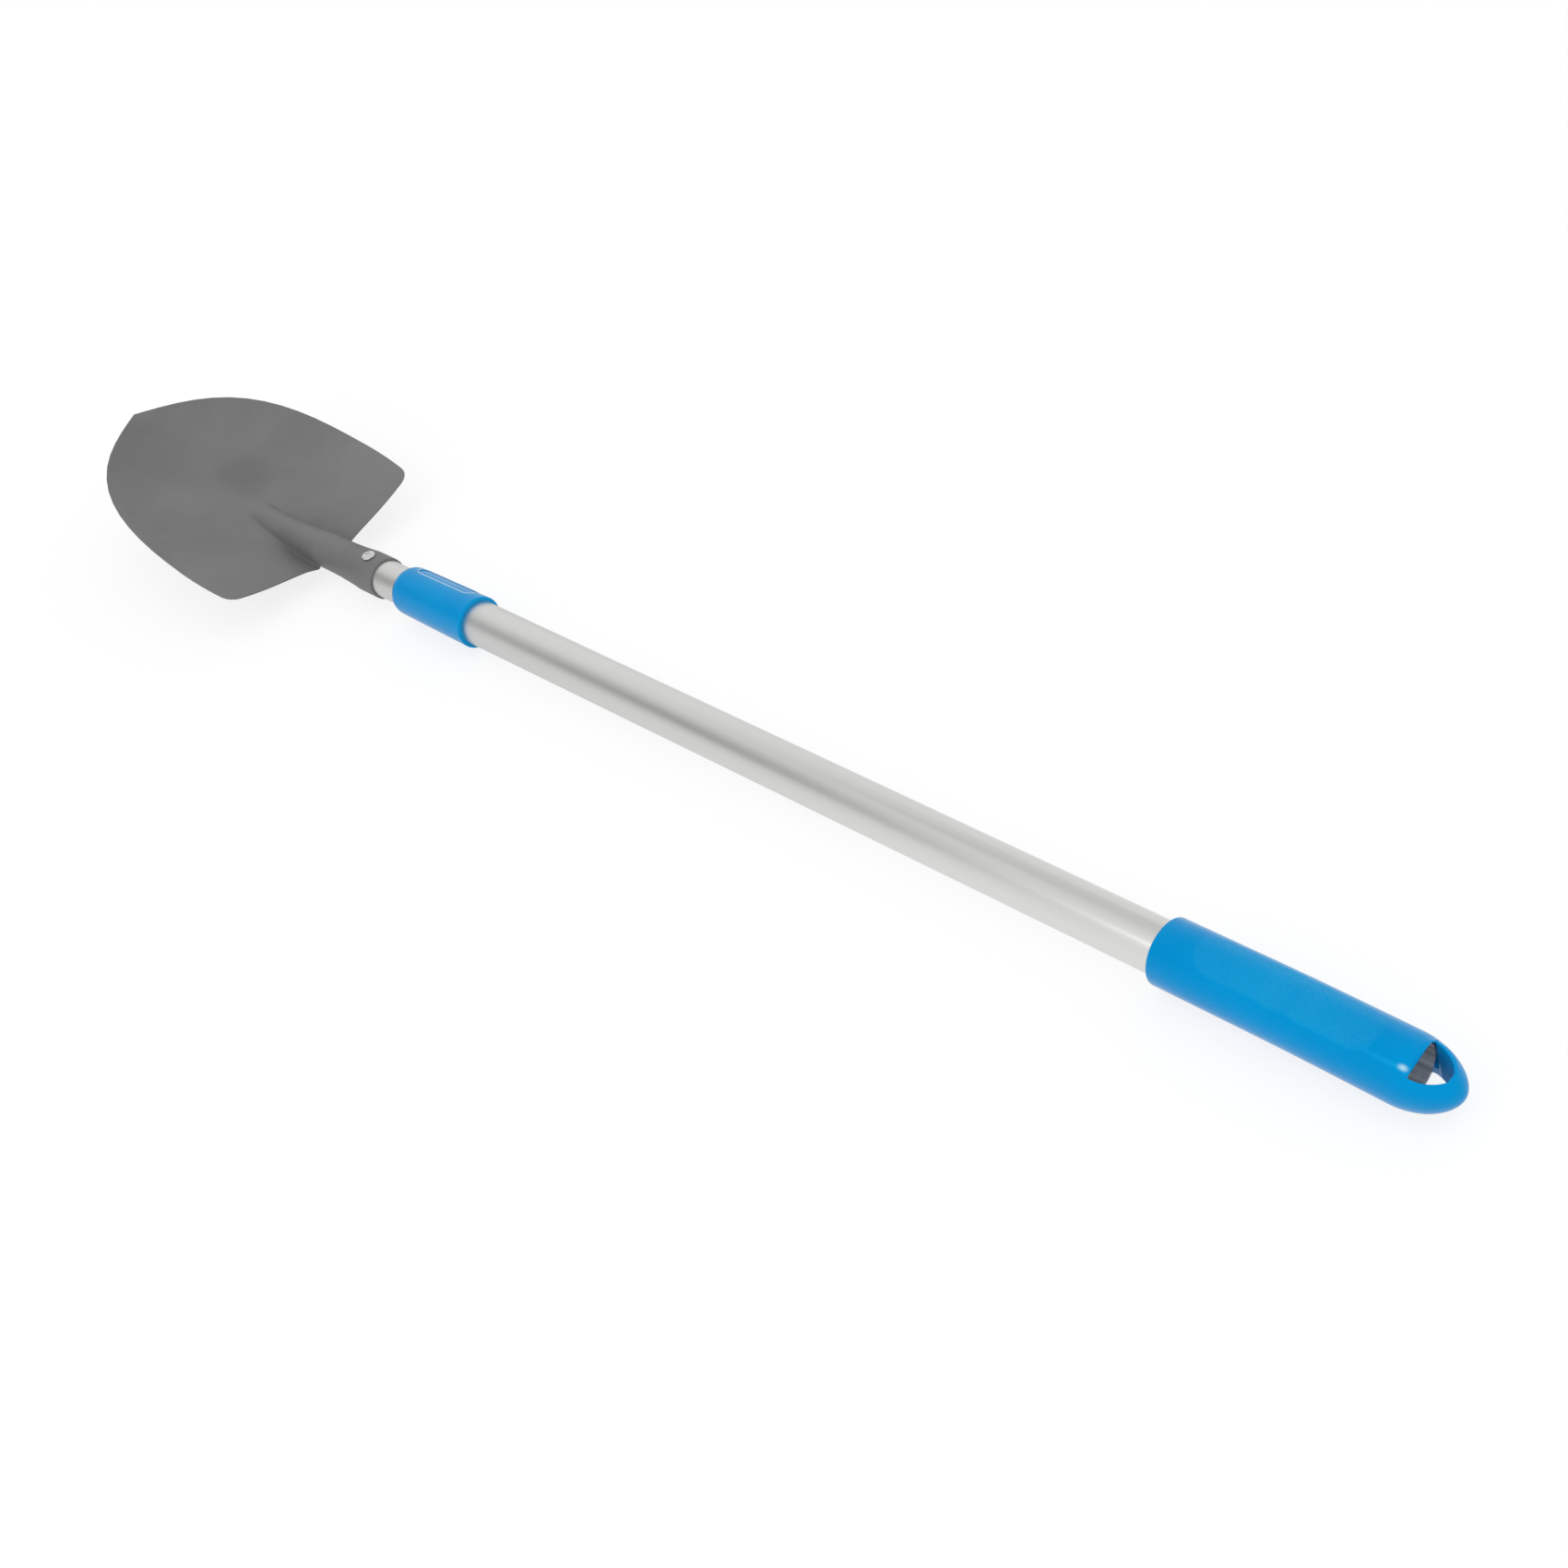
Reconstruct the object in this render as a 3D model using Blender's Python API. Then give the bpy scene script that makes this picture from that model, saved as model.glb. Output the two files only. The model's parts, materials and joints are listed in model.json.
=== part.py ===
"""Telescopic garden trowel: a pressed steel head on a two-piece aluminium pole with a moulded grip.

The axis of the pole runs along X, with the head towards -X and the grip towards +X. +Z is up, on
the side that the head is dished towards. Stations along the pole are measured in the pole's own
frame, from the rear face of the collar, and one empty carries that frame to its place, so that
the tool stands with the middle of its length over the origin and its lowest point at Z = 0.
"""

import math

import bmesh
import bpy

# Clearance that pieces keep where they touch or slide, in metres like every length here
FIT_GAP = 0.0003

# Aluminium tubes
OUTER_TUBE_RADIUS = 0.0125
INNER_TUBE_RADIUS = 0.0110
TUBE_WALL = 0.0012
POLE_SHOWN = 0.4700
INNER_TUBE_LENGTH = 0.5450

# Collar on the end of the outer tube, with the loose guide ring in its nose
COLLAR_LENGTH = 0.0645
COLLAR_REAR_RADIUS = 0.0148
COLLAR_FRONT_RADIUS = 0.0141
COLLAR_LIP = 0.0012
NOSE_LENGTH = 0.0070
NOSE_DOME = 0.0055
NOSE_EDGE_RADIUS = 0.0119
GUIDE_RING_LENGTH = 0.0064
PAD_LENGTH = 0.0490
PAD_WIDTH = 0.0100
PAD_DEPTH = 0.0005
PAD_REAR_MARGIN = 0.0075
PAD_TURN = math.radians(34)

# Grip, whose rear droops a little and ends in a round nose with a D-shaped hanging hole through it
GRIP_LENGTH = 0.1409
GRIP_FRONT_RADIUS = 0.0157
GRIP_REAR_RADIUS = 0.0159
GRIP_EDGE = 0.0008
GRIP_NOSE_LENGTH = 0.0254
GRIP_NOSE_POWER = 1.84
GRIP_DROOP = 0.0022
GRIP_DROOP_LENGTH = 0.0870
GRIP_TURN = math.radians(4)
HOLE_WALL_SETBACK = 0.0204
HOLE_LENGTH = 0.0137
HOLE_HALF_WIDTH = 0.0098
HOLE_ROUNDNESS = 1.7
HOLE_SEAT_HALF_WIDTH = 0.0022
HOLE_EDGE = 0.0015
HOLE_EDGE_TURN = math.radians(70)
HOLE_FLARE = 0.0003
HOLE_CORNER = 0.0012
HOLE_LEAN = math.tan(math.radians(8.5))

# Pressed head: the sheet, its socket and its blade
SHEET = 0.0010
NECK_SHOWN = 0.0215
SOCKET_LENGTH = 0.0605
SOCKET_SEAT = 0.0160
SOCKET_TAPER = 0.0350
SOCKET_THROAT_RADIUS = 0.0101
SEAM_HALF_ANGLE = math.radians(4)
BLADE_LENGTH = 0.1859
BLADE_HALF_WIDTH = 0.0730
SHOULDER_HALF_WIDTH = 0.0695
SHOULDER_CORNER = 0.0065
BELLY_SETBACK = 0.0444
OUTLINE_POWER = 2.78
OUTLINE_ROOT = 2.45
TIP_SPREAD = 2.66
TIP_BLEND = 1.83

# Dish of the blade: where it leaves the socket, how it climbs and how it curves
HEEL_DROP = 0.0032
HEEL_SLOPE = math.radians(5.4)
DISH_RADIUS_ALONG = 0.602
DISH_RADIUS_ACROSS = 0.173
CREASE_DROP = 0.0043
CREASE_SPREAD = 0.0090
CREASE_LENGTH = 0.0450

# Ridge that runs on from the socket and dies out in the dish
RIDGE_LENGTH = 0.0800
RIDGE_NOSE_LENGTH = 0.0180
RIDGE_RISE = 0.0013
RIDGE_SAG = 0.0020
RIDGE_WALL_ANGLE = math.radians(82)
HEEL_WALL_ANGLE = math.radians(112)
HEEL_WRAP_LENGTH = 0.0280
RIDGE_FOOT_RADIUS = 0.0015
RIDGE_END_RADIUS = 0.0080
RIDGE_END_HALF_WIDTH = 0.0085
RIDGE_BASE_SHARE = 0.3
RIDGE_NARROWING = 0.5
FLAT_RISE = 0.000001

# Blind rivet through the top of the socket
RIVET_SETBACK = 0.0115
RIVET_SHANK_RADIUS = 0.0020
RIVET_HEAD_RADIUS = 0.0040
RIVET_HEAD_HEIGHT = 0.0013
RIVET_HEAD_RIM = 0.0003
RIVET_BULB_RADIUS = 0.0030
RIVET_BULB_LENGTH = 0.0034
RIVET_BULB_DOME = 0.0027
MANDREL_RADIUS = 0.0009
MANDREL_HEAD_RADIUS = 0.0016
MANDREL_RECESS = 0.0004
MANDREL_NECK_ANGLE = math.radians(50)

# Eccentric lock in the rear end of the inner tube
PLUG_DEPTH = 0.0340
PLUG_FLANGE = 0.0020
SPIGOT_RADIUS = 0.0065
SPIGOT_OFFSET = 0.0010
CAM_RING_LENGTH = 0.0180
CAM_PLAY = 0.0004
CAM_SLIT_HALF_ANGLE = math.radians(7)
WASHER_RADIUS = 0.0090
WASHER_THICKNESS = 0.0015
SCREW_RADIUS = 0.0020
SCREW_HEAD_RADIUS = 0.0040
SCREW_HEAD_HEIGHT = 0.0024
SCREW_LENGTH = 0.0160
PIN_RADIUS = 0.0015
PIN_SETBACK = 0.0200

# Edges sharper than this stay crisp where a piece is shaded smooth
SHARP_EDGE = math.radians(40)

# Steps that round shapes are drawn in
TUBE_SIDES = 64
LOCK_SIDES = 32
ROD_SIDES = 24
ARCH_STEPS = 6
FOOT_STEPS = 4
WING_STEPS = 7
FLAP_STEPS = 7
CORNER_STEPS = 4
SIDE_STEPS = 6
FRONT_STEPS = 15
TAPER_STEPS = 5
DOME_STEPS = 4
COLLAR_STEPS = 4
NOSE_STEPS = 7
GRIP_STEPS = 7
GRIP_NOSE_STEPS = 12
PAD_STEPS = 5
HOLE_STEPS = 10
EDGE_STEPS = 4
SKIN_PASSES = 6

# Stations worked out from the sizes above, from the rear face of the collar
COLLAR_FRONT_X = -COLLAR_LENGTH
NOSE_INNER_X = COLLAR_FRONT_X + NOSE_LENGTH
GUIDE_FRONT_X = NOSE_INNER_X + FIT_GAP
GUIDE_REAR_X = GUIDE_FRONT_X + GUIDE_RING_LENGTH
OUTER_TUBE_FRONT_X = GUIDE_REAR_X + FIT_GAP
GRIP_FRONT_X = POLE_SHOWN
GRIP_END_X = GRIP_FRONT_X + GRIP_LENGTH
GRIP_NOSE_X = GRIP_END_X - GRIP_NOSE_LENGTH
HOLE_WALL_X = GRIP_END_X - HOLE_WALL_SETBACK
OUTER_TUBE_REAR_X = HOLE_WALL_X - HOLE_LEAN * OUTER_TUBE_RADIUS - FIT_GAP
SOCKET_RIM_X = COLLAR_FRONT_X - NECK_SHOWN
HEEL_X = SOCKET_RIM_X - SOCKET_LENGTH
TIP_X = HEEL_X - BLADE_LENGTH
INNER_TUBE_FRONT_X = SOCKET_RIM_X - SOCKET_SEAT
INNER_TUBE_REAR_X = INNER_TUBE_FRONT_X + INNER_TUBE_LENGTH
SOCKET_SEAT_X = INNER_TUBE_FRONT_X - FIT_GAP
RIVET_X = SOCKET_RIM_X - RIVET_SETBACK
FLANGE_REAR_X = INNER_TUBE_REAR_X + FIT_GAP + PLUG_FLANGE
CAM_FRONT_X = FLANGE_REAR_X + FIT_GAP
CAM_REAR_X = CAM_FRONT_X + CAM_RING_LENGTH
SPIGOT_REAR_X = CAM_REAR_X + FIT_GAP
WASHER_FRONT_X = SPIGOT_REAR_X + FIT_GAP
WASHER_REAR_X = WASHER_FRONT_X + WASHER_THICKNESS
PIN_X = INNER_TUBE_REAR_X - PIN_SETBACK
SCREW_HEAD_X = WASHER_REAR_X + FIT_GAP
SCREW_TIP_X = SCREW_HEAD_X - SCREW_LENGTH
SCREW_HOLE_END_X = SCREW_TIP_X - 2 * FIT_GAP

# Radii worked out from the sizes above
OUTER_TUBE_BORE = OUTER_TUBE_RADIUS - TUBE_WALL
INNER_TUBE_BORE = INNER_TUBE_RADIUS - TUBE_WALL
SLEEVE_BORE = OUTER_TUBE_RADIUS + FIT_GAP
NOSE_BORE = INNER_TUBE_RADIUS + FIT_GAP
SOCKET_MID_RADIUS = INNER_TUBE_RADIUS + FIT_GAP + SHEET / 2
PLUG_RADIUS = INNER_TUBE_BORE - FIT_GAP
CAM_RING_RADIUS = OUTER_TUBE_BORE - CAM_PLAY
PIN_HOLE_RADIUS = PIN_RADIUS + FIT_GAP
RIVET_HOLE_RADIUS = RIVET_SHANK_RADIUS + FIT_GAP
SCREW_HOLE_RADIUS = SCREW_RADIUS + FIT_GAP

# Middle of the tool's length, which stands over the world's origin
MIDDLE_X = (TIP_X + GRIP_END_X) / 2

BLUE_PLASTIC = ((0.004, 0.29, 0.60, 1), 0.0, 0.32)
GREY_PAINT = ((0.18, 0.18, 0.18, 1), 0.0, 0.5)
ALUMINIUM = ((0.62, 0.63, 0.61, 1), 1.0, 0.38)
WHITE_NYLON = ((0.72, 0.72, 0.68, 1), 0.0, 0.5)
BRIGHT_STEEL = ((0.55, 0.55, 0.56, 1), 1.0, 0.3)

# Turns of an object that is drawn along X and stands along another axis
ALONG_X = (0, 0, 0)
ALONG_Y = (0, 0, math.pi / 2)
ALONG_Z = (0, -math.pi / 2, 0)


def clear_scene():
    for old in list(bpy.data.objects):
        bpy.data.objects.remove(old, do_unlink=True)


def finish_material(name, finish):
    colour, metallic, roughness = finish
    material = bpy.data.materials.new(name)
    material.use_nodes = True
    shader = material.node_tree.nodes["Principled BSDF"]
    shader.inputs["Base Color"].default_value = colour
    shader.inputs["Metallic"].default_value = metallic
    shader.inputs["Roughness"].default_value = roughness
    return material


def add_object(name, shape, parent, finish=None, location=(0, 0, 0), rotation=ALONG_X):
    bmesh.ops.recalc_face_normals(shape, faces=shape.faces)
    mesh = bpy.data.meshes.new(name)
    shape.to_mesh(mesh)
    shape.free()
    mesh.shade_smooth()
    mesh.set_sharp_from_angle(angle=SHARP_EDGE)
    piece = bpy.data.objects.new(name, mesh)
    bpy.context.scene.collection.objects.link(piece)
    piece.parent = parent
    piece.location = location
    piece.rotation_euler = rotation
    if finish:
        mesh.materials.append(finish_material(name, finish))
    return piece


def cut_out(name, shape, target, location=(0, 0, 0), rotation=ALONG_X):
    """Takes a guide shape, which moves with its target, out of the target."""
    guide = add_object(name, shape, target, None, location, rotation)
    guide.hide_render = True
    guide.display_type = "WIRE"
    cut = target.modifiers.new(name, "BOOLEAN")
    cut.operation = "DIFFERENCE"
    cut.solver = "EXACT"
    cut.object = guide


def arc(centre, radius, start, end, steps):
    """Points on a circle, from one angle to another, as (station, radius)."""
    points = []
    for step in range(steps + 1):
        angle = start + (end - start) * step / steps
        points.append((centre[0] + radius * math.cos(angle), centre[1] + radius * math.sin(angle)))
    return points


def bridge(shape, first, second, closed=True):
    """Quads between two rows of vertices, or triangles where one row is a single point."""
    count = max(len(first), len(second))
    for i in range(count if closed else count - 1):
        j = (i + 1) % count
        corners = []
        for row, k in ((first, i), (first, j), (second, j), (second, i)):
            vertex = row[k if len(row) > 1 else 0]
            if vertex not in corners:
                corners.append(vertex)
        shape.faces.new(corners)


def turned(profile, sides=TUBE_SIDES):
    """Spins a profile of (station, radius, height of the centre) round the X axis.

    A profile that starts and ends at radius 0 is solid, and any other one closes on itself.
    """
    shape = bmesh.new()
    rings = []
    for station, radius, *rest in profile:
        lift = rest[0] if rest else 0
        if radius == 0:
            rings.append([shape.verts.new((station, 0, lift))])
            continue
        ring = []
        for side in range(sides):
            angle = 2 * math.pi * side / sides
            across, height = radius * math.sin(angle), lift + radius * math.cos(angle)
            ring.append(shape.verts.new((station, across, height)))
        rings.append(ring)
    for first, second in zip(rings, rings[1:]):
        bridge(shape, first, second)
    if len(rings[0]) > 1:
        bridge(shape, rings[-1], rings[0])
    return shape


def tube(front, rear, radius, bore, sides=TUBE_SIDES):
    return turned([(front, radius), (rear, radius), (rear, bore), (front, bore)], sides)


def rod(start, end, radius, sides=ROD_SIDES):
    return turned([(start, 0), (start, radius), (end, radius), (end, 0)], sides)


def dish_height(setback, across):
    """Height of the blade's middle surface, setback from the heel towards the point.

    Beside the socket the sheet is drawn down into a crease, which dies out along the blade.
    """
    climb = math.tan(HEEL_SLOPE) * setback + setback ** 2 / (2 * DISH_RADIUS_ALONG)
    outside = max(0, across - SOCKET_THROAT_RADIUS)
    crease = CREASE_DROP * math.exp(-outside / CREASE_SPREAD - (setback / CREASE_LENGTH) ** 2)
    return climb - HEEL_DROP - crease + across ** 2 / (2 * DISH_RADIUS_ACROSS)


def blade_half_width(setback):
    """Half the blade's width: square shoulders and a full belly, blended with a blunt point."""
    back = max(0, BELLY_SETBACK - setback) / BELLY_SETBACK
    front = max(0, setback - BELLY_SETBACK) / (BLADE_LENGTH - BELLY_SETBACK)
    full = BLADE_HALF_WIDTH * (1 - min(1, front) ** OUTLINE_POWER) ** (1 / OUTLINE_ROOT)
    full -= (BLADE_HALF_WIDTH - SHOULDER_HALF_WIDTH) * back ** 2
    point = TIP_SPREAD * (BLADE_LENGTH - setback)
    if min(full, point) <= 0:
        return 0
    width = (full ** -TIP_BLEND + point ** -TIP_BLEND) ** (-1 / TIP_BLEND)
    corner = max(0, SHOULDER_CORNER - setback)
    return width - SHOULDER_CORNER + math.sqrt(SHOULDER_CORNER ** 2 - corner ** 2)


def socket_mid_radius(station):
    """The socket grips the tube, then narrows to the throat where the blade begins."""
    share = (SOCKET_SEAT_X - station) / SOCKET_TAPER
    share = min(1, max(0, share))
    ease = 1 - (1 - share) ** 2
    return SOCKET_MID_RADIUS + (SOCKET_THROAT_RADIUS - SOCKET_MID_RADIUS) * ease


def ridge_height(setback):
    """How far the ridge stands above the dish: its crest sags a little, and its nose is short."""
    share = min(1, setback / RIDGE_LENGTH)
    crest = SOCKET_THROAT_RADIUS + RIDGE_RISE * share ** 2 - RIDGE_SAG * math.sin(math.pi * share)
    full = crest - dish_height(setback, 0)
    nose = (setback - (RIDGE_LENGTH - RIDGE_NOSE_LENGTH)) / RIDGE_NOSE_LENGTH
    nose = min(1, max(0, nose))
    return max(full * 0.5 * (1 + math.cos(math.pi * nose)), FLAT_RISE)


def ridge_profile(setback, half_width):
    """Half of the ridge as (across, rise): a round arch, a straight wall and a hollow foot."""
    share = min(1, setback / RIDGE_LENGTH)
    crown = SOCKET_THROAT_RADIUS + (RIDGE_END_RADIUS - SOCKET_THROAT_RADIUS) * share ** RIDGE_NARROWING
    foot = RIDGE_FOOT_RADIUS
    wrap = max(0, 1 - setback / HEEL_WRAP_LENGTH) ** 2
    angle = RIDGE_WALL_ANGLE + (HEEL_WALL_ANGLE - RIDGE_WALL_ANGLE) * wrap
    height = ridge_height(setback)
    base = min(RIDGE_END_HALF_WIDTH, RIDGE_BASE_SHARE * half_width)
    spread = max(1, base ** 2 / (2 * height * (crown + foot)))
    crown *= spread
    foot *= spread
    wall_start = (crown + foot) * (1 - math.cos(angle))
    wall = (height - wall_start) / math.sin(angle)
    if height < wall_start:
        angle = math.acos(1 - height / (crown + foot))
        wall = 0
    points = []
    for step in range(ARCH_STEPS + 1):
        turn = angle * step / ARCH_STEPS
        points.append((crown * math.sin(turn), height - crown * (1 - math.cos(turn))))
    across = (crown + foot) * math.sin(angle) + wall * math.cos(angle)
    for step in range(1, FOOT_STEPS + 1):
        turn = angle * (1 - step / FOOT_STEPS)
        points.append((across - foot * math.sin(turn), foot * (1 - math.cos(turn))))
    return points


def blade_section(setback):
    """Half of the blade's cross-section, from the crest of the ridge out to the edge."""
    half_width = blade_half_width(setback)
    points = ridge_profile(setback, half_width)
    inner = points[-1][0]
    for step in range(1, WING_STEPS + 1):
        points.append((inner + (half_width - inner) * step / WING_STEPS, 0))
    return [(across, dish_height(setback, across) + rise) for across, rise in points]


def socket_section(station):
    """Half of the socket's cross-section, from the top round to the seam underneath."""
    radius = socket_mid_radius(station)
    turns = [HEEL_WALL_ANGLE * step / ARCH_STEPS for step in range(ARCH_STEPS + 1)]
    reach = math.pi - SEAM_HALF_ANGLE - HEEL_WALL_ANGLE
    turns += [HEEL_WALL_ANGLE + reach * step / FLAP_STEPS for step in range(1, FLAP_STEPS + 1)]
    return [(radius * math.sin(turn), radius * math.cos(turn)) for turn in turns]


def blade_setbacks():
    """Where the blade's cross-sections lie, close together round the corners and the point."""
    setbacks = []
    for step in range(CORNER_STEPS):
        setbacks.append(SHOULDER_CORNER * (1 - math.cos(math.pi / 2 * step / CORNER_STEPS)))
    for step in range(SIDE_STEPS):
        setbacks.append(SHOULDER_CORNER + (BELLY_SETBACK - SHOULDER_CORNER) * step / SIDE_STEPS)
    for step in range(FRONT_STEPS - 1):
        share = math.sin(math.pi / 2 * step / FRONT_STEPS)
        setbacks.append(BELLY_SETBACK + (BLADE_LENGTH - BELLY_SETBACK) * share)
    return setbacks


def socket_stations():
    """Where the socket's cross-sections lie, from just behind the heel to the rim."""
    throat = SOCKET_SEAT_X - SOCKET_TAPER
    stations = [HEEL_X + FIT_GAP, (HEEL_X + FIT_GAP + throat) / 2]
    stations += [throat + SOCKET_TAPER * step / TAPER_STEPS for step in range(TAPER_STEPS + 1)]
    stations += [(SOCKET_SEAT_X + SOCKET_RIM_X) / 2, SOCKET_RIM_X]
    return stations


def mirrored_row(shape, station, section):
    """One cross-section as vertices from the -Y edge, over the crest, to the +Y edge."""
    row = [shape.verts.new((station, -across, height)) for across, height in reversed(section[1:])]
    row += [shape.verts.new((station, across, height)) for across, height in section]
    return row


def head_sheet():
    """Middle surface of the pressed head: blade, ridge and rolled socket in one sheet."""
    shape = bmesh.new()
    rows = [mirrored_row(shape, HEEL_X - setback, blade_section(setback)) for setback in blade_setbacks()]
    rows.append([shape.verts.new((TIP_X, 0, dish_height(BLADE_LENGTH, 0)))])
    for first, second in zip(rows, rows[1:]):
        bridge(shape, first, second, closed=False)
    crest = len(rows[0]) // 2
    arch = rows[0][crest - ARCH_STEPS:crest + ARCH_STEPS + 1]
    rings = [mirrored_row(shape, station, socket_section(station)) for station in socket_stations()]
    bridge(shape, arch, rings[0][FLAP_STEPS:-FLAP_STEPS], closed=False)
    for first, second in zip(rings, rings[1:]):
        bridge(shape, first, second, closed=False)
    return shape


def build_trowel_head(pole):
    head = add_object("trowel_head", head_sheet(), pole, GREY_PAINT)
    thick = head.modifiers.new("sheet", "SOLIDIFY")
    thick.thickness = SHEET
    thick.offset = 0
    thick.use_even_offset = True
    hole = rod(INNER_TUBE_BORE / 2, 2 * SOCKET_MID_RADIUS, RIVET_HOLE_RADIUS)
    cut_out("socket_rivet_hole", hole, head, (RIVET_X, 0, 0), ALONG_Z)


def build_inner_tube(pole):
    shape = tube(INNER_TUBE_FRONT_X, INNER_TUBE_REAR_X, INNER_TUBE_RADIUS, INNER_TUBE_BORE)
    piece = add_object("inner_tube", shape, pole, ALUMINIUM)
    rivet_hole = rod(INNER_TUBE_BORE / 2, 2 * INNER_TUBE_RADIUS, RIVET_HOLE_RADIUS)
    cut_out("tube_rivet_hole", rivet_hole, piece, (RIVET_X, 0, 0), ALONG_Z)
    pin_hole = rod(-2 * INNER_TUBE_RADIUS, 2 * INNER_TUBE_RADIUS, PIN_HOLE_RADIUS)
    cut_out("tube_pin_hole", pin_hole, piece, (PIN_X, 0, 0), ALONG_Y)


def build_outer_tube(pole):
    shape = tube(OUTER_TUBE_FRONT_X, OUTER_TUBE_REAR_X, OUTER_TUBE_RADIUS, OUTER_TUBE_BORE)
    add_object("outer_tube", shape, pole, ALUMINIUM)


def build_rivet(pole):
    """Blind rivet: its body with a domed head and a bulb, and the pulled mandrel inside it."""
    bore = MANDREL_RADIUS + FIT_GAP
    head_base = SOCKET_MID_RADIUS + SHEET / 2 + FIT_GAP
    head_top = head_base + RIVET_HEAD_HEIGHT
    bulb_top = math.sqrt(INNER_TUBE_BORE ** 2 - RIVET_BULB_RADIUS ** 2) - FIT_GAP
    bulb_base = bulb_top - RIVET_BULB_LENGTH
    profile = [(bulb_base, bore), (bulb_base, MANDREL_HEAD_RADIUS)]
    swell = RIVET_BULB_RADIUS - MANDREL_HEAD_RADIUS
    for step in range(1, DOME_STEPS + 1):
        turn = math.pi / 2 * step / DOME_STEPS
        profile.append((bulb_base + RIVET_BULB_DOME * (1 - math.cos(turn)),
                        MANDREL_HEAD_RADIUS + swell * math.sin(turn)))
    profile += [(bulb_top, RIVET_BULB_RADIUS), (bulb_top, RIVET_SHANK_RADIUS)]
    profile += [(head_base, RIVET_SHANK_RADIUS), (head_base, RIVET_HEAD_RADIUS)]
    for step in range(1, DOME_STEPS + 1):
        turn = math.pi / 2 * step / DOME_STEPS
        profile.append((head_base + RIVET_HEAD_RIM + (RIVET_HEAD_HEIGHT - RIVET_HEAD_RIM) * math.sin(turn),
                        bore + (RIVET_HEAD_RADIUS - bore) * math.cos(turn)))
    add_object("rivet_body", turned(profile, ROD_SIDES), pole, BRIGHT_STEEL, (RIVET_X, 0, 0), ALONG_Z)
    ball_centre = bulb_base - FIT_GAP - MANDREL_HEAD_RADIUS
    mandrel = arc((ball_centre, 0), MANDREL_HEAD_RADIUS, math.pi, MANDREL_NECK_ANGLE, 2 * DOME_STEPS)
    mandrel[0] = (ball_centre - MANDREL_HEAD_RADIUS, 0)
    mandrel += [(bulb_base, MANDREL_RADIUS), (head_top - MANDREL_RECESS, MANDREL_RADIUS)]
    mandrel.append((head_top - MANDREL_RECESS, 0))
    add_object("rivet_mandrel", turned(mandrel, ROD_SIDES), pole, BRIGHT_STEEL, (RIVET_X, 0, 0), ALONG_Z)


def collar_radius(station):
    share = -station / COLLAR_LENGTH
    return COLLAR_REAR_RADIUS + (COLLAR_FRONT_RADIUS - COLLAR_REAR_RADIUS) * share


def collar_pad():
    """Oblong with round ends, laid round the collar, that sinks a shallow pad into its side."""
    shape = bmesh.new()
    half = PAD_WIDTH / 2
    front = -PAD_REAR_MARGIN - PAD_LENGTH
    ends = [half * (1 - math.cos(math.pi / 2 * step / PAD_STEPS)) for step in range(1, PAD_STEPS + 1)]
    stations = ends + [PAD_LENGTH - end for end in reversed(ends)]
    floor, roof = [], []
    for station in stations:
        near_end = min(station, PAD_LENGTH - station, half)
        width = math.sqrt(half ** 2 - (half - near_end) ** 2)
        radius = collar_radius(front + station)
        for rows, level in ((floor, radius - PAD_DEPTH), (roof, radius + PAD_WIDTH)):
            row = []
            for step in range(2 * PAD_STEPS + 1):
                turn = PAD_TURN + width / radius * (step / PAD_STEPS - 1)
                across, height = level * math.sin(turn), level * math.cos(turn)
                row.append(shape.verts.new((front + station, across, height)))
            rows.append(row)
    for rows in (floor, roof):
        for first, second in zip(rows, rows[1:]):
            bridge(shape, first, second, closed=False)
    for edge in (0, -1):
        bridge(shape, [row[edge] for row in floor], [row[edge] for row in roof], closed=False)
        bridge(shape, floor[edge], roof[edge], closed=False)
    return shape


def build_collar(pole):
    lip = COLLAR_LIP / 2
    dome_start = COLLAR_FRONT_X + NOSE_DOME
    shoulder = collar_radius(dome_start)
    profile = [(-lip, SLEEVE_BORE), (0, SLEEVE_BORE + lip), (0, COLLAR_REAR_RADIUS - lip)]
    for step in range(COLLAR_STEPS + 1):
        station = -lip + (dome_start + lip) * step / COLLAR_STEPS
        profile.append((station, collar_radius(station)))
    for step in range(1, NOSE_STEPS + 1):
        turn = math.pi / 2 * step / NOSE_STEPS
        profile.append((dome_start - NOSE_DOME * math.sin(turn),
                        NOSE_EDGE_RADIUS + (shoulder - NOSE_EDGE_RADIUS) * math.cos(turn)))
    profile += [(COLLAR_FRONT_X, NOSE_BORE), (NOSE_INNER_X, NOSE_BORE), (NOSE_INNER_X, SLEEVE_BORE)]
    collar = add_object("collar", turned(profile), pole, BLUE_PLASTIC)
    cut_out("collar_pad", collar_pad(), collar)


def build_guide_ring(pole):
    shape = tube(GUIDE_FRONT_X, GUIDE_REAR_X, OUTER_TUBE_RADIUS, NOSE_BORE)
    add_object("guide_ring", shape, pole, WHITE_NYLON)


def grip_radius(station):
    """The grip swells a little towards the rear and ends in a round nose."""
    swell = min(1, (station - GRIP_FRONT_X) / (GRIP_NOSE_X - GRIP_FRONT_X))
    radius = GRIP_FRONT_RADIUS + (GRIP_REAR_RADIUS - GRIP_FRONT_RADIUS) * swell
    nose = min(1, max(0, station - GRIP_NOSE_X) / GRIP_NOSE_LENGTH)
    return radius * (1 - nose ** GRIP_NOSE_POWER) ** (1 / GRIP_NOSE_POWER)


def grip_centre(station):
    """Height of the middle of the grip, which droops gently towards its end."""
    share = min(1, max(0, station - GRIP_END_X + GRIP_DROOP_LENGTH) / GRIP_DROOP_LENGTH)
    return -GRIP_DROOP * share ** 2 * (3 - 2 * share)


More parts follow.
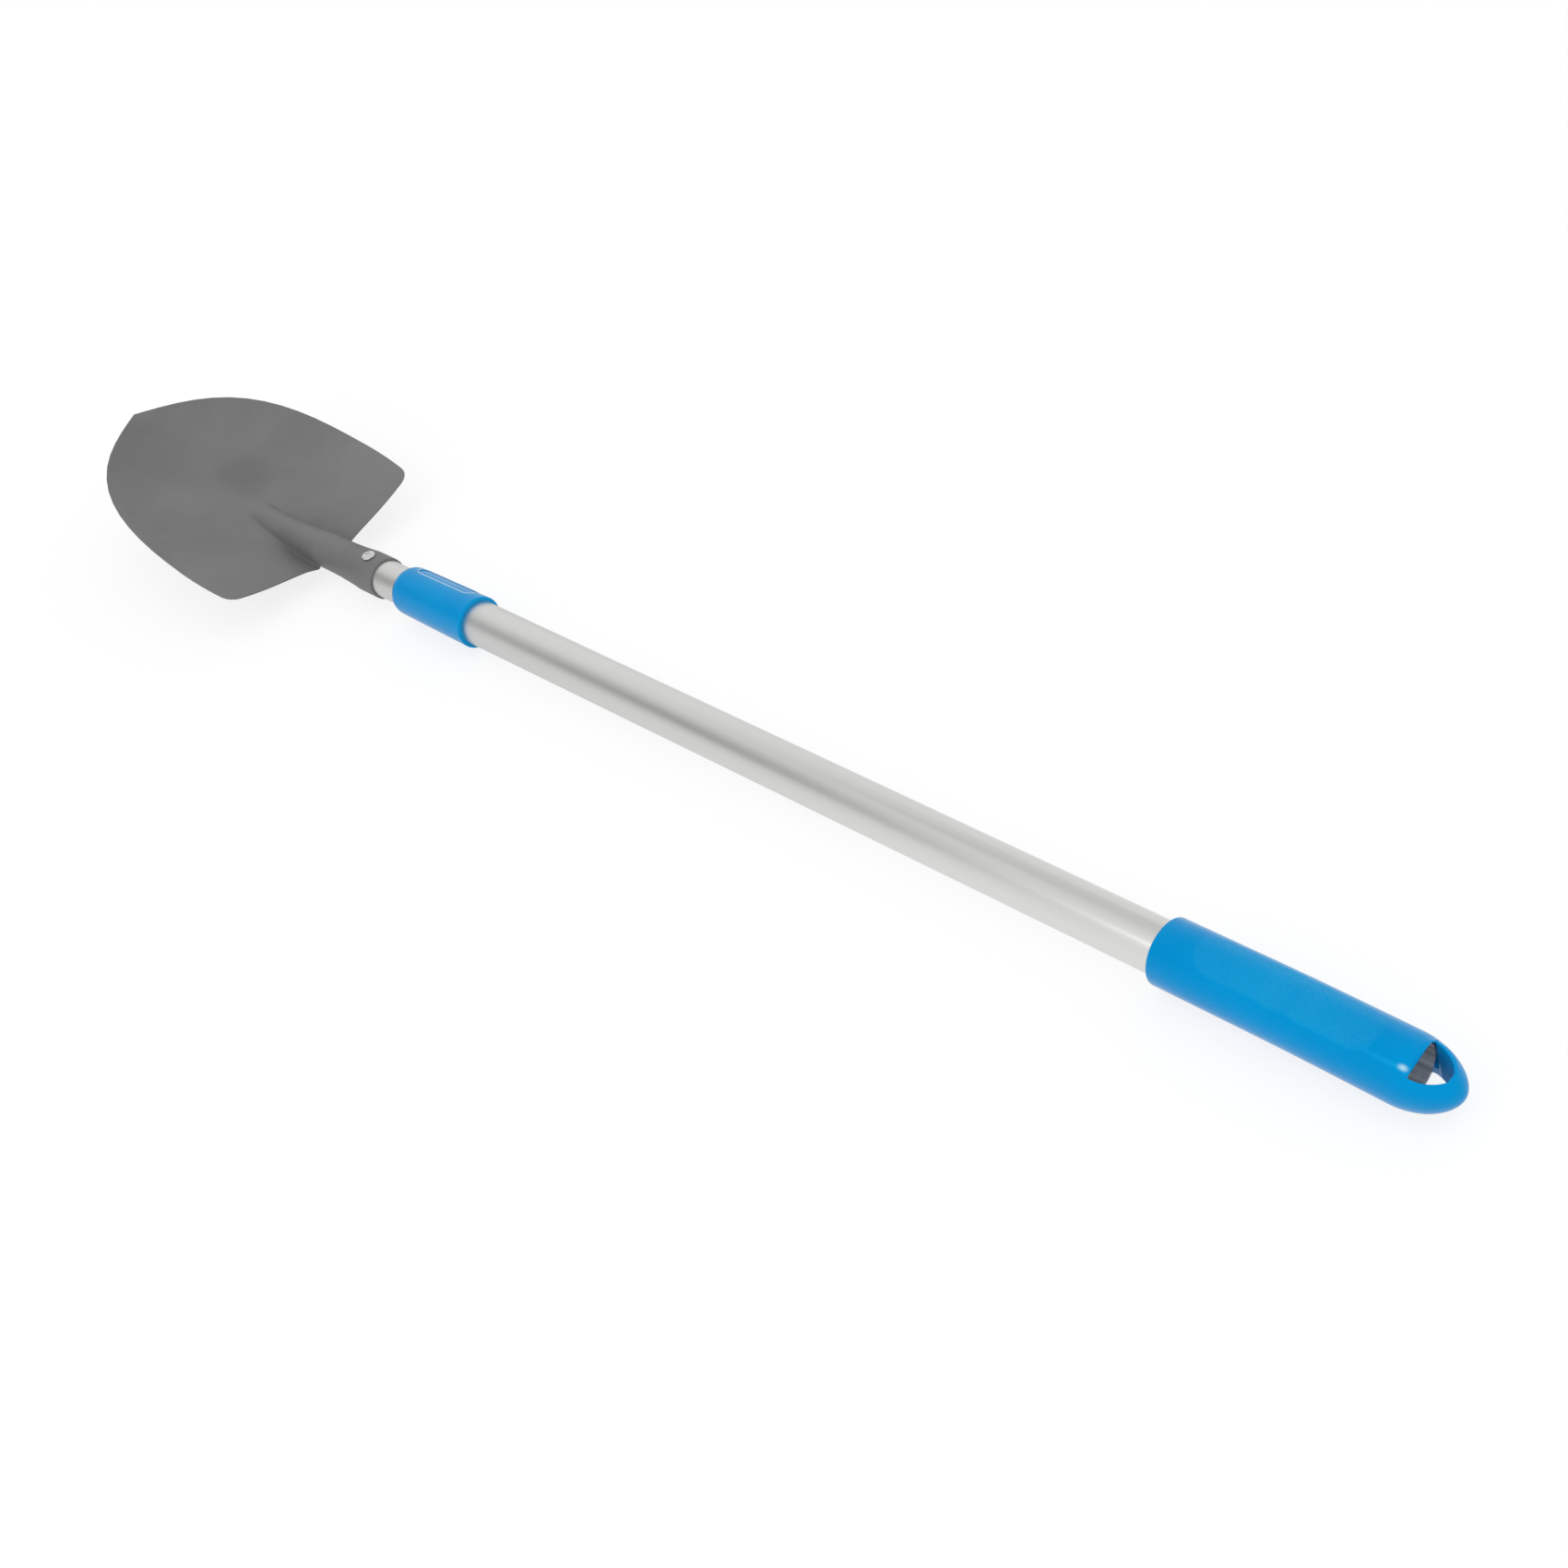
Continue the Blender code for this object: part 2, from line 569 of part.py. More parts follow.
def grip_stations():
    """Where the grip's rings lie, behind its front edge, close together in the nose."""
    front = GRIP_FRONT_X + GRIP_EDGE
    stations = [front + (GRIP_NOSE_X - front) * step / GRIP_STEPS for step in range(1, GRIP_STEPS + 1)]
    for step in range(1, GRIP_NOSE_STEPS):
        stations.append(GRIP_NOSE_X + GRIP_NOSE_LENGTH * math.sin(math.pi / 2 * step / GRIP_NOSE_STEPS))
    return stations


def hole_outline():
    """D-shaped outline of the hanging hole as (station, across), with a small flat at its far end."""
    corner = (HOLE_WALL_X + HOLE_CORNER, HOLE_HALF_WIDTH - HOLE_CORNER)
    half = arc(corner, HOLE_CORNER, math.pi, math.pi / 2, CORNER_STEPS)
    reach = HOLE_LENGTH - HOLE_CORNER
    last = math.acos((HOLE_SEAT_HALF_WIDTH / HOLE_HALF_WIDTH) ** (HOLE_ROUNDNESS / 2))
    for step in range(1, HOLE_STEPS + 1):
        lean = last * step / HOLE_STEPS
        along = (math.sin(lean) / math.sin(last)) ** (2 / HOLE_ROUNDNESS)
        half.append((HOLE_WALL_X + HOLE_CORNER + reach * along,
                     HOLE_HALF_WIDTH * math.cos(lean) ** (2 / HOLE_ROUNDNESS)))
    return half + [(station, -across) for station, across in reversed(half)]


def outward_directions(outline):
    """Unit directions that point out of a closed outline at each of its points."""
    directions = []
    for i, _ in enumerate(outline):
        before, after = outline[i - 1], outline[(i + 1) % len(outline)]
        along, across = after[0] - before[0], after[1] - before[1]
        length = math.hypot(along, across)
        directions.append((-across / length, along / length))
    return directions


def grip_skin(station, across, side):
    """Height at which a line that leans like the hole, from the axis, leaves the grip."""
    height = 0
    for _ in range(SKIN_PASSES):
        x = station + HOLE_LEAN * height
        height = grip_centre(x) + side * math.sqrt(grip_radius(x) ** 2 - across ** 2)
    return height


def hanging_hole():
    """A leaning D-shaped bar through the grip, flared at both ends to round the hole's edges."""
    shape = bmesh.new()
    outline = hole_outline()
    directions = outward_directions(outline)
    levels = []
    for step in range(EDGE_STEPS + 1):
        turn = HOLE_EDGE_TURN * step / EDGE_STEPS
        levels.append((HOLE_EDGE * (1 - math.cos(turn)), HOLE_EDGE * (1 - math.sin(turn))))
    flare = levels[-1][1] + HOLE_FLARE
    levels.append((levels[-1][0] + flare * math.tan(HOLE_EDGE_TURN), levels[-1][1] - flare))
    rings = []
    for side in (-1, 1):
        stack = []
        for outward, depth in levels:
            ring = []
            for (station, across), (along, out) in zip(outline, directions):
                x, y = station + along * outward, across + out * outward
                z = grip_skin(x, y, side) - side * depth
                ring.append(shape.verts.new((x + HOLE_LEAN * z, y, z)))
            stack.append(ring)
        height = side * 2 * GRIP_REAR_RADIUS
        cap = [shape.verts.new((vertex.co.x, vertex.co.y, height)) for vertex in stack[-1]]
        stack.append(cap)
        shape.faces.new(cap)
        rings += stack if side > 0 else list(reversed(stack))
    for first, second in zip(rings, rings[1:]):
        bridge(shape, first, second)
    return shape


def build_grip(pole):
    bore_end = HOLE_WALL_X + HOLE_LEAN * SLEEVE_BORE + FIT_GAP
    profile = [(bore_end, 0), (bore_end, SLEEVE_BORE), (GRIP_FRONT_X, SLEEVE_BORE)]
    edge = (GRIP_FRONT_X + GRIP_EDGE, GRIP_FRONT_RADIUS - GRIP_EDGE)
    profile += arc(edge, GRIP_EDGE, math.pi, math.pi / 2, EDGE_STEPS)
    profile += [(station, grip_radius(station), grip_centre(station)) for station in grip_stations()]
    profile.append((GRIP_END_X, 0, grip_centre(GRIP_END_X)))
    grip = add_object("grip", turned(profile), pole, BLUE_PLASTIC, rotation=(GRIP_TURN, 0, 0))
    cut_out("hanging_hole", hanging_hole(), grip)


def build_cam_plug(pole):
    """Plug in the tube's end, with a flange behind it and a spigot that stands off centre."""
    front = INNER_TUBE_REAR_X - PLUG_DEPTH
    flange_front = INNER_TUBE_REAR_X + FIT_GAP
    profile = [(front, 0), (front, PLUG_RADIUS), (flange_front, PLUG_RADIUS)]
    profile += [(flange_front, INNER_TUBE_RADIUS), (FLANGE_REAR_X, INNER_TUBE_RADIUS)]
    profile.append((FLANGE_REAR_X, SPIGOT_RADIUS, SPIGOT_OFFSET))
    profile.append((SPIGOT_REAR_X, SPIGOT_RADIUS, SPIGOT_OFFSET))
    profile.append((SPIGOT_REAR_X, SCREW_HOLE_RADIUS, SPIGOT_OFFSET))
    profile.append((SCREW_HOLE_END_X, SCREW_HOLE_RADIUS, SPIGOT_OFFSET))
    profile.append((SCREW_HOLE_END_X, 0, SPIGOT_OFFSET))
    plug = add_object("cam_plug", turned(profile, LOCK_SIDES), pole, WHITE_NYLON)
    pin_hole = rod(-2 * INNER_TUBE_RADIUS, 2 * INNER_TUBE_RADIUS, PIN_HOLE_RADIUS)
    cut_out("plug_pin_hole", pin_hole, plug, (PIN_X, 0, 0), ALONG_Y)


def build_cam_ring(pole):
    """Split ring, round outside on the tube's axis and turning on the spigot inside."""
    shape = bmesh.new()
    bore = SPIGOT_RADIUS + FIT_GAP
    corners = [(0, CAM_RING_RADIUS, SPIGOT_OFFSET), (CAM_RING_LENGTH, CAM_RING_RADIUS, SPIGOT_OFFSET)]
    corners += [(CAM_RING_LENGTH, bore, 0), (0, bore, 0)]
    sections = []
    for side in range(LOCK_SIDES + 1):
        angle = CAM_SLIT_HALF_ANGLE + 2 * (math.pi - CAM_SLIT_HALF_ANGLE) * side / LOCK_SIDES
        section = []
        for station, radius, drop in corners:
            across, height = radius * math.sin(angle), radius * math.cos(angle) - drop
            section.append(shape.verts.new((station, across, height)))
        sections.append(section)
    for first, second in zip(sections, sections[1:]):
        bridge(shape, first, second)
    shape.faces.new(sections[0])
    shape.faces.new(sections[-1])
    add_object("cam_ring", shape, pole, WHITE_NYLON, (CAM_FRONT_X, 0, SPIGOT_OFFSET))


def build_lock_fasteners(pole):
    """Cross pin that holds the plug, and the screw and washer that keep the ring on its spigot."""
    pin = rod(-INNER_TUBE_RADIUS, INNER_TUBE_RADIUS, PIN_RADIUS)
    add_object("plug_pin", pin, pole, BRIGHT_STEEL, (PIN_X, 0, 0), ALONG_Y)
    spigot_axis = (0, 0, SPIGOT_OFFSET)
    washer = tube(WASHER_FRONT_X, WASHER_REAR_X, WASHER_RADIUS, SCREW_HOLE_RADIUS, LOCK_SIDES)
    add_object("end_washer", washer, pole, BRIGHT_STEEL, spigot_axis)
    screw = [(SCREW_TIP_X, 0), (SCREW_TIP_X, SCREW_RADIUS / 2), (SCREW_TIP_X + SCREW_RADIUS, SCREW_RADIUS)]
    screw += [(SCREW_HEAD_X, SCREW_RADIUS), (SCREW_HEAD_X, SCREW_HEAD_RADIUS)]
    for step in range(1, DOME_STEPS):
        turn = math.pi / 2 * step / DOME_STEPS
        screw.append((SCREW_HEAD_X + SCREW_HEAD_HEIGHT * math.sin(turn),
                      SCREW_HEAD_RADIUS * math.cos(turn)))
    screw.append((SCREW_HEAD_X + SCREW_HEAD_HEIGHT, 0))
    add_object("end_screw", turned(screw, ROD_SIDES), pole, BRIGHT_STEEL, spigot_axis)


def main():
    clear_scene()
    axis_height = max(grip_radius(station) - grip_centre(station) for station in grip_stations())
    pole = bpy.data.objects.new("pole_axis", None)
    bpy.context.scene.collection.objects.link(pole)
    pole.location = (-MIDDLE_X, 0, axis_height)
    build_trowel_head(pole)
    build_rivet(pole)
    build_inner_tube(pole)
    build_cam_plug(pole)
    build_cam_ring(pole)
    build_lock_fasteners(pole)
    build_guide_ring(pole)
    build_outer_tube(pole)
    build_collar(pole)
    build_grip(pole)


main()
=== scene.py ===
"""Looks of a telescopic garden trowel: paint, drawn aluminium, moulded plastic and the knurl of the grip."""

import json
import math

import bmesh
import bpy
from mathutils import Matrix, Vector


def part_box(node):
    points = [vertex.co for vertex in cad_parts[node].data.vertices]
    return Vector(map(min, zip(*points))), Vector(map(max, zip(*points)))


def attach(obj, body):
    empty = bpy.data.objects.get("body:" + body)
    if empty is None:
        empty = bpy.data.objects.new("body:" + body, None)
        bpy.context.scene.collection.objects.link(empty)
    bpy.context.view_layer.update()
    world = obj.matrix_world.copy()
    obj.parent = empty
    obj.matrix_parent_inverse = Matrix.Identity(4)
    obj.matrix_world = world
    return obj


MM = 0.001

# The photograph's frame, and the camera, placed from the collar's rear face on the pole's axis
IMAGE_PIXELS = 1700
FOCAL_PIXELS = 2450
SENSOR_MM = 36
CAMERA_FROM_COLLAR = (0.93028, -0.47949, 0.70237)
CAMERA_TURN = (48.4257, 13.1144, 44.0114)
CAMERA_NEAR = 0.02

# Studio: an even pale room with one brighter side and four dimmer places, each as azimuth, height and
# spread in degrees with its change of strength, and a soft lamp on the brighter side
ROOM_LIGHT = 0.85
ROOM_PATCHES = [(-144, 27, 15, -0.75), (-172, 57, 12, -0.15), (-85, 35, 34, 0.20),
                (156, 59, 6, -0.5), (122, 48, 8, -0.4)]
LAMP_AZIMUTH = -103
LAMP_HEIGHT = 46
LAMP_DISTANCE = 1.6
LAMP_SIZE = (0.60, 0.26)
LAMP_POWER = 1.6

# Floor: its own glow keeps it white, and metal sees that glow rise along X from a dim end to a clear one,
# each given as its place and level
FLOOR_SIZE = 12
FLOOR_GLOW = 0.80
FLOOR_PAINT = (0.24, 0.24, 0.24, 1)
FLOOR_BOUNCE = (0.82, 0.82, 0.82, 1)
FLOOR_DIM = (-0.35, 0.68)
FLOOR_CLEAR = (0.45, 0.92)
WHITE = (1, 1, 1, 1)

# Colours, in linear light
BLUE = (0.0, 0.318, 0.735, 1)
BLUE_DEEP = (0.0, 0.292, 0.695, 1)
# Pale blue of the plastic's edges: wear, and partly a painted highlight along them
BLUE_WORN_AND_HIGHLIT = (0.03, 0.42, 0.76, 1)
BLUE_KNURL = (0.0, 0.355, 0.745, 1)
# Pale blue of a painted glint beside the grip's hanging hole
BLUE_PAINTED_GLINT = (0.52, 0.78, 0.97, 1)
# Pale blues of the pad's rim on the collar, a painted highlight
BLUE_PAD_HIGHLIGHT = (0.72, 0.86, 0.95, 1)
BLUE_PAD_HIGHLIGHT_DEEP = (0.55, 0.76, 0.90, 1)
BLUE_SHEEN = (0.05, 0.80, 1.0, 1)
PAINT = (0.205, 0.205, 0.205, 1)
PAINT_DEEP = (0.150, 0.150, 0.150, 1)
PAINT_WORN = (0.26, 0.26, 0.26, 1)
ALUMINIUM = (0.80, 0.80, 0.785, 1)
ALUMINIUM_DULL = (0.72, 0.72, 0.705, 1)
# Streaks in the bore: painted reflection, and painted shade
ALUMINIUM_BORE_PAINTED_LIGHT = (0.97, 0.95, 0.91, 1)
ALUMINIUM_BORE_PAINTED_SHADE = (0.30, 0.29, 0.28, 1)
NYLON = (0.72, 0.72, 0.68, 1)
NYLON_DEEP = (0.64, 0.64, 0.60, 1)
STEEL = (0.78, 0.78, 0.79, 1)
STEEL_DULL = (0.66, 0.66, 0.67, 1)

# Noise of the grain, the slow patches of tone, the drawn lines and the broken wear: how fine its detail goes
# and how strong that detail is
GRAIN_NOISE = {"detail": 3.0, "roughness": 0.6}
PATCH_NOISE = {"detail": 4.0, "roughness": 0.55}
FINE_LINE_NOISE = {"detail": 2.0, "roughness": 0.5}
BROAD_LINE_NOISE = {"detail": 3.0, "roughness": 0.6}
WEAR_NOISE = {"detail": 2.0, "roughness": 0.5}

# Grained finishes: the range of roughness, the scales of the grain and of the slow patches of tone, the
# grain's depth, and the width of the edges that rub pale
PAINT_FINISH = {"roughness": (0.42, 0.52), "grain_scale": 1100.0, "patch_scale": 26.0,
                "bump_depth": 0.03 * MM, "wear_width": 0.5 * MM}
PLASTIC_FINISH = {"roughness": (0.16, 0.24), "grain_scale": 1600.0, "patch_scale": 22.0,
                  "bump_depth": 0.01 * MM, "wear_width": 0.4 * MM}
NYLON_FINISH = {"roughness": (0.38, 0.5), "grain_scale": 1200.0, "patch_scale": 60.0,
                "bump_depth": 0.03 * MM, "wear_width": 0.3 * MM}
GRAIN_SCALE = 900.0
PATCH_SCALE = 30.0
PATCH_CONTRAST = (0.32, 0.68)
GRAIN_BUMP = 0.4

# Drawn finishes, and the lines that the die leaves: their scales, how they stretch along the tube, and how
# far fine and broad lines each set the tone
TUBE_FINISH = {"roughness": (0.28, 0.36), "bump_depth": 0.02 * MM}
STEEL_FINISH = {"roughness": (0.2, 0.3), "bump_depth": 0.01 * MM}
FINE_LINES = 1400.0
BROAD_LINES = 120.0
LINE_STRETCH = 0.006
FINE_SHARE = 0.5
BROAD_SHARE = 0.5
LINE_BUMP = 0.3

# Edge wear: its default width, the scale of the noise that breaks it up, and how far the rounded normal
# turns from the face where wear starts and where it is full, as cosines
WEAR_WIDTH = 0.6 * MM
WEAR_BREAKUP = 600.0
WEAR_TURN = (0.985, 0.90)
WEAR_SAMPLES = 4

# Gloss of the blue plastic, and how much duller the hanging hole's walls are
BLUE_SPECULAR = 0.45
HOLE_MATT = 0.4

# Bore of the outer tube, duller than its drawn face, with streaks of painted reflection and shade: the
# scale and contrast of its streaks, its added roughness, and how metallic it still looks
BORE_LINES = 500.0
BORE_PAINTED_STREAKS = (-1.1, 2.4)
BORE_MATT = 0.15
BORE_METAL = 0.2

# Painted light and shade on the blade, lighter or darker places that stand for how the light falls: the
# middle of each place in mm, from the blade's tip and at heights over the pole's axis, its half sizes in mm,
# and how much lighter or darker it is; and the share of the tone's range that the slow patches take
PAINTED_LIGHT_SPOTS = [((86, 14, 16), (30, 24, 50), -0.55),
               ((12, -30, 38), (70, 70, 80), -0.60),
               ((162, 56, 9), (90, 50, 60), 0.60),
               ((111, -60, 19), (60, 40, 60), -0.30)]
PAINT_PATCHES = 0.5

# Painted glint, a pale highlight painted on the grip beside its hole: its middle, from the grip's rear end
# on the pole's axis, and its half sizes along, across and up
PAINTED_GLINT_MIDDLE = (-21.05 * MM, -9.0 * MM, 10.55 * MM)
PAINTED_GLINT_REACH = (3.2 * MM, 1.9 * MM, 1.9 * MM)

# Grip: its radius at its front end and where its nose begins, the form of the nose, and how its rear droops
GRIP_FRONT_RADIUS = 15.7 * MM
GRIP_REAR_RADIUS = 15.9 * MM
GRIP_NOSE_LENGTH = 25.4 * MM
GRIP_NOSE_POWER = 1.84
GRIP_DROOP = 2.2 * MM
GRIP_DROOP_LENGTH = 87 * MM

# Hanging hole, from the grip's rear end: where its front wall meets the axis, its middle, and the half sizes
# of the oval that holds its walls
HOLE_WALL = 20.4 * MM
HOLE_MIDDLE = 13.5 * MM
HOLE_REACH = (7.9 * MM, 10.6 * MM)

# Rounded lip over the hole's front wall: where it leaves the grip's surface and ends, measured from the
# wall at the axis, the height of its edge over the axis, how that height climbs to one side, and its body
LIP_START = -0.2 * MM
LIP_END = 2.2 * MM
LIP_EDGE = 11.0 * MM
LIP_CLIMB = 0.24
LIP_THICKNESS = 1.1 * MM
LIP_LEAST_ROLL = LIP_THICKNESS / 4
LIP_NOSE_BACK = LIP_THICKNESS / 3
LIP_NOSE_DROP = LIP_THICKNESS / 2
LIP_BACK = -1.8 * MM
LIP_SINK = 0.03 * MM
LIP_STEPS = 8
LIP_HALF_WIDTH = 11 * MM
LIP_SECTIONS = 44

# Knurled patch on top of the grip, from the grip's front end
KNURL_START = 17 * MM
KNURL_END = 107 * MM
KNURL_HALF_TURN = math.radians(46)
KNURL_TURN = math.radians(-4)
KNURL_STEP = 0.55 * MM
KNURL_HEIGHT = 0.2 * MM
KNURL_SINK = 0.05 * MM
KNURL_BACK = 0.3 * MM
KNURL_RIM = 2.5 * MM

# Collar, and the pad on its side, whose moulded rim is coloured pale as a painted highlight
COLLAR_REAR_RADIUS = 14.8 * MM
COLLAR_FRONT_RADIUS = 14.1 * MM
COLLAR_CHAMFER = 0.6 * MM
PAD_LENGTH = 49 * MM
PAD_WIDTH = 10 * MM
PAD_REAR_MARGIN = 7.5 * MM
PAD_TURN = math.radians(34)
PAD_RIM_WIDTH = 0.6 * MM
PAD_RIM_HEIGHT = 0.2 * MM
PAD_END_STEPS = 24
PAD_BEAD_STEPS = 6

# Tubes: the radius that parts the outer tube's bore from its face, and its sawn end, which reaches into the
# hanging hole and overlaps the tube by a thin skin
OUTER_TUBE_RADIUS = 12.5 * MM
INNER_TUBE_RADIUS = 11 * MM
TUBE_WALL = 1.2 * MM
BORE_EDGE = 12.0 * MM
TUBE_END_REACH = 2.4 * MM
TUBE_END_OVERLAP = 0.6 * MM
TUBE_END_SKIN = 0.03 * MM

# Rings that close the solids' clearances where the real pieces are pressed together
FIT_GAP = 0.3 * MM
SEAT_DEPTH = 2.5 * MM
SEAT_SETBACK = 0.12 * MM
SEAT_BITE = 0.06 * MM
RING_SIDES = 96

# Shading is smooth up to the crease angle, which is wider on the head's pressed sheet, and sharper edges
# than the edge angle are rounded by a width for each node
CREASE_ANGLE = math.radians(35)
SHEET_CREASE_ANGLE = math.radians(62)
WELD_DISTANCE = 0.01 * MM
EDGE_ANGLE = math.radians(65)
EDGE_SEGMENTS = 3
EDGE_ROUND = {"collar": 0.3 * MM, "trowel_head": 0.25 * MM, "outer_tube": 0.15 * MM,
              "guide_ring": 0.2 * MM, "rivet_body": 0.1 * MM, "end_screw": 0.1 * MM}

# Places of a Mix node's sockets, which share their names
MIX_NUMBERS = (2, 3)
MIX_NUMBER_RESULT = 0
MIX_COLOURS = (6, 7)
MIX_COLOUR_RESULT = 2

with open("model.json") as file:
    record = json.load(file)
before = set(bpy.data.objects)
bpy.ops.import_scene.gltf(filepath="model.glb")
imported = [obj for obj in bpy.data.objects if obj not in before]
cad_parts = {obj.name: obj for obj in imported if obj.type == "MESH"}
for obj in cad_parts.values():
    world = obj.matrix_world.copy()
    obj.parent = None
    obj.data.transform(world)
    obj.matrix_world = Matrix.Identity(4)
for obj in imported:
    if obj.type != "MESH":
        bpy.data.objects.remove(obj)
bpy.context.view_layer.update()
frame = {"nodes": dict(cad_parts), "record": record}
nodes = frame["nodes"]
GRIP_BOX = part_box("grip")
TUBE_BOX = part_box("outer_tube")
COLLAR_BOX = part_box("collar")
HEAD_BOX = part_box("trowel_head")
GRIP_LENGTH = GRIP_BOX[1].x - GRIP_BOX[0].x
AXIS_HEIGHT = (TUBE_BOX[0].z + TUBE_BOX[1].z) / 2


def link(tree, source, target):
    """Joins an output to an input."""
    tree.links.new(source, target)


def feed(tree, socket, operand):
    """Gives a socket a value, or another node's output."""
    if isinstance(operand, bpy.types.NodeSocket):
        link(tree, operand, socket)
    else:
        socket.default_value = operand


def feed_all(tree, node, *operands):
    """Gives a node's first sockets their values, or other nodes' outputs, in order."""
    for socket, operand in zip(node.inputs, operands):
        feed(tree, socket, operand)
    return node


def add_node(tree, kind, **settings):
    """A new node, with values for its sockets or, where it has no such socket, for its own settings."""
    node = tree.nodes.new(kind)
    for name, value in settings.items():
        if name in node.inputs:
            node.inputs[name].default_value = value
        else:
            setattr(node, name, value)
    return node


def calculate(tree, operation, *operands):
    """A number worked out from values and other nodes' outputs."""
    node = feed_all(tree, add_node(tree, "ShaderNodeMath", operation=operation), *operands)
    return node.outputs["Value"]


def calculate_vector(tree, operation, *operands):
    """A vector worked out from values and other nodes' outputs, or a number for a length or a dot product."""
    node = feed_all(tree, add_node(tree, "ShaderNodeVectorMath", operation=operation), *operands)
    return node.outputs["Value" if operation in ("LENGTH", "DOT_PRODUCT") else "Vector"]


def rescale(tree, source, low, high, from_low=0, from_high=1, curve="LINEAR"):
    """Maps one range of an output's values onto another, and holds it there."""
    change = add_node(tree, "ShaderNodeMapRange", interpolation_type=curve)
    for label, value in (("From Min", from_low), ("From Max", from_high), ("To Min", low), ("To Max", high)):
        change.inputs[label].default_value = value
    link(tree, source, change.inputs["Value"])
    return change.outputs["Result"]


def own_place(tree):
    """Each point's place on its own piece, in metres, where it lies at rest."""
    return tree.nodes.new("ShaderNodeTexCoord").outputs["Object"]


def soft_noise(tree, place, scale, detail, roughness):
    """Noise at a place, at a scale given as a value or as another node's output."""
    node = add_node(tree, "ShaderNodeTexNoise", Detail=detail, Roughness=roughness)
    link(tree, place, node.inputs["Vector"])
    feed(tree, node.inputs["Scale"], scale)
    return node.outputs["Fac"]


def new_group(name, inputs, outputs):
    """A shader node group, with inputs as (name, kind, default) and outputs as (name, kind)."""
    tree = bpy.data.node_groups.new(name, "ShaderNodeTree")
    for label, kind, default in inputs:
        socket = tree.interface.new_socket(label, in_out="INPUT", socket_type=kind)
        socket.default_value = default
    for label, kind in outputs:
        tree.interface.new_socket(label, in_out="OUTPUT", socket_type=kind)
    return tree, tree.nodes.new("NodeGroupInput"), tree.nodes.new("NodeGroupOutput")


def make_grain_group():
    """Fine grain of a moulded or sprayed surface: a height, and a slow change of tone."""
    inputs = [("Scale", "NodeSocketFloat", GRAIN_SCALE), ("Patch Scale", "NodeSocketFloat", PATCH_SCALE)]
    outputs = [("Height", "NodeSocketFloat"), ("Tone", "NodeSocketFloat")]
    tree, enter, leave = new_group("surface_grain", inputs, outputs)
    place = own_place(tree)
    grain = soft_noise(tree, place, enter.outputs["Scale"], **GRAIN_NOISE)
    patches = soft_noise(tree, place, enter.outputs["Patch Scale"], **PATCH_NOISE)
    link(tree, grain, leave.inputs["Height"])
    link(tree, rescale(tree, patches, 0, 1, *PATCH_CONTRAST), leave.inputs["Tone"])
    return tree


def make_drawn_group():
    """Lines that a drawing die leaves along the X axis of a tube: a height, and a tone."""
    inputs = [("Lines", "NodeSocketFloat", FINE_LINES), ("Stretch", "NodeSocketFloat", LINE_STRETCH)]
    outputs = [("Height", "NodeSocketFloat"), ("Tone", "NodeSocketFloat")]
    tree, enter, leave = new_group("drawn_lines", inputs, outputs)
    along = feed_all(tree, tree.nodes.new("ShaderNodeCombineXYZ"), enter.outputs["Stretch"], 1, 1)
    squeezed = calculate_vector(tree, "MULTIPLY", own_place(tree), along.outputs["Vector"])
    fine = soft_noise(tree, squeezed, enter.outputs["Lines"], **FINE_LINE_NOISE)
    broad = soft_noise(tree, squeezed, BROAD_LINES, **BROAD_LINE_NOISE)
    tone = calculate(tree, "MULTIPLY_ADD", broad, BROAD_SHARE, calculate(tree, "MULTIPLY", fine, FINE_SHARE))
    link(tree, fine, leave.inputs["Height"])
    link(tree, tone, leave.inputs["Tone"])
    return tree


def make_wear_group():
    """Mask of outer edges, where paint and plastic rub pale, broken up by a fine noise."""
    inputs = [("Width", "NodeSocketFloat", WEAR_WIDTH), ("Breakup", "NodeSocketFloat", WEAR_BREAKUP)]
    tree, enter, leave = new_group("edge_wear", inputs, [("Mask", "NodeSocketFloat")])
    rounded = add_node(tree, "ShaderNodeBevel", samples=WEAR_SAMPLES)
    link(tree, enter.outputs["Width"], rounded.inputs["Radius"])
    face = tree.nodes.new("ShaderNodeNewGeometry")
    meet = calculate_vector(tree, "DOT_PRODUCT", rounded.outputs["Normal"], face.outputs["Normal"])
    breakup = soft_noise(tree, own_place(tree), enter.outputs["Breakup"], **WEAR_NOISE)
    edges = rescale(tree, meet, 0, 1, *WEAR_TURN)
    link(tree, calculate(tree, "MULTIPLY", edges, breakup), leave.inputs["Mask"])
    return tree


def make_spot_group():
    """Mask of an egg-shaped place: 1 in its middle, fading to 0 at its edge."""
    inputs = [("Middle", "NodeSocketVector", (0, 0, 0)), ("Reach", "NodeSocketVector", (1, 1, 1))]
    tree, enter, leave = new_group("soft_spot", inputs, [("Mask", "NodeSocketFloat")])
    offset = calculate_vector(tree, "SUBTRACT", own_place(tree), enter.outputs["Middle"])
    share = calculate_vector(tree, "DIVIDE", offset, enter.outputs["Reach"])
    distance = calculate_vector(tree, "LENGTH", share)
    link(tree, rescale(tree, distance, 0, 1, 1, 0, "SMOOTHSTEP"), leave.inputs["Mask"])
    return tree


GRAIN = make_grain_group()
DRAWN = make_drawn_group()
WEAR = make_wear_group()
SPOT = make_spot_group()


def place_group(tree, group, **values):
    """A node group placed in a material, with its own values."""
    node = tree.nodes.new("ShaderNodeGroup")
    node.node_tree = group
    for name, value in values.items():
        node.inputs[name.replace("_", " ")].default_value = value
    return node


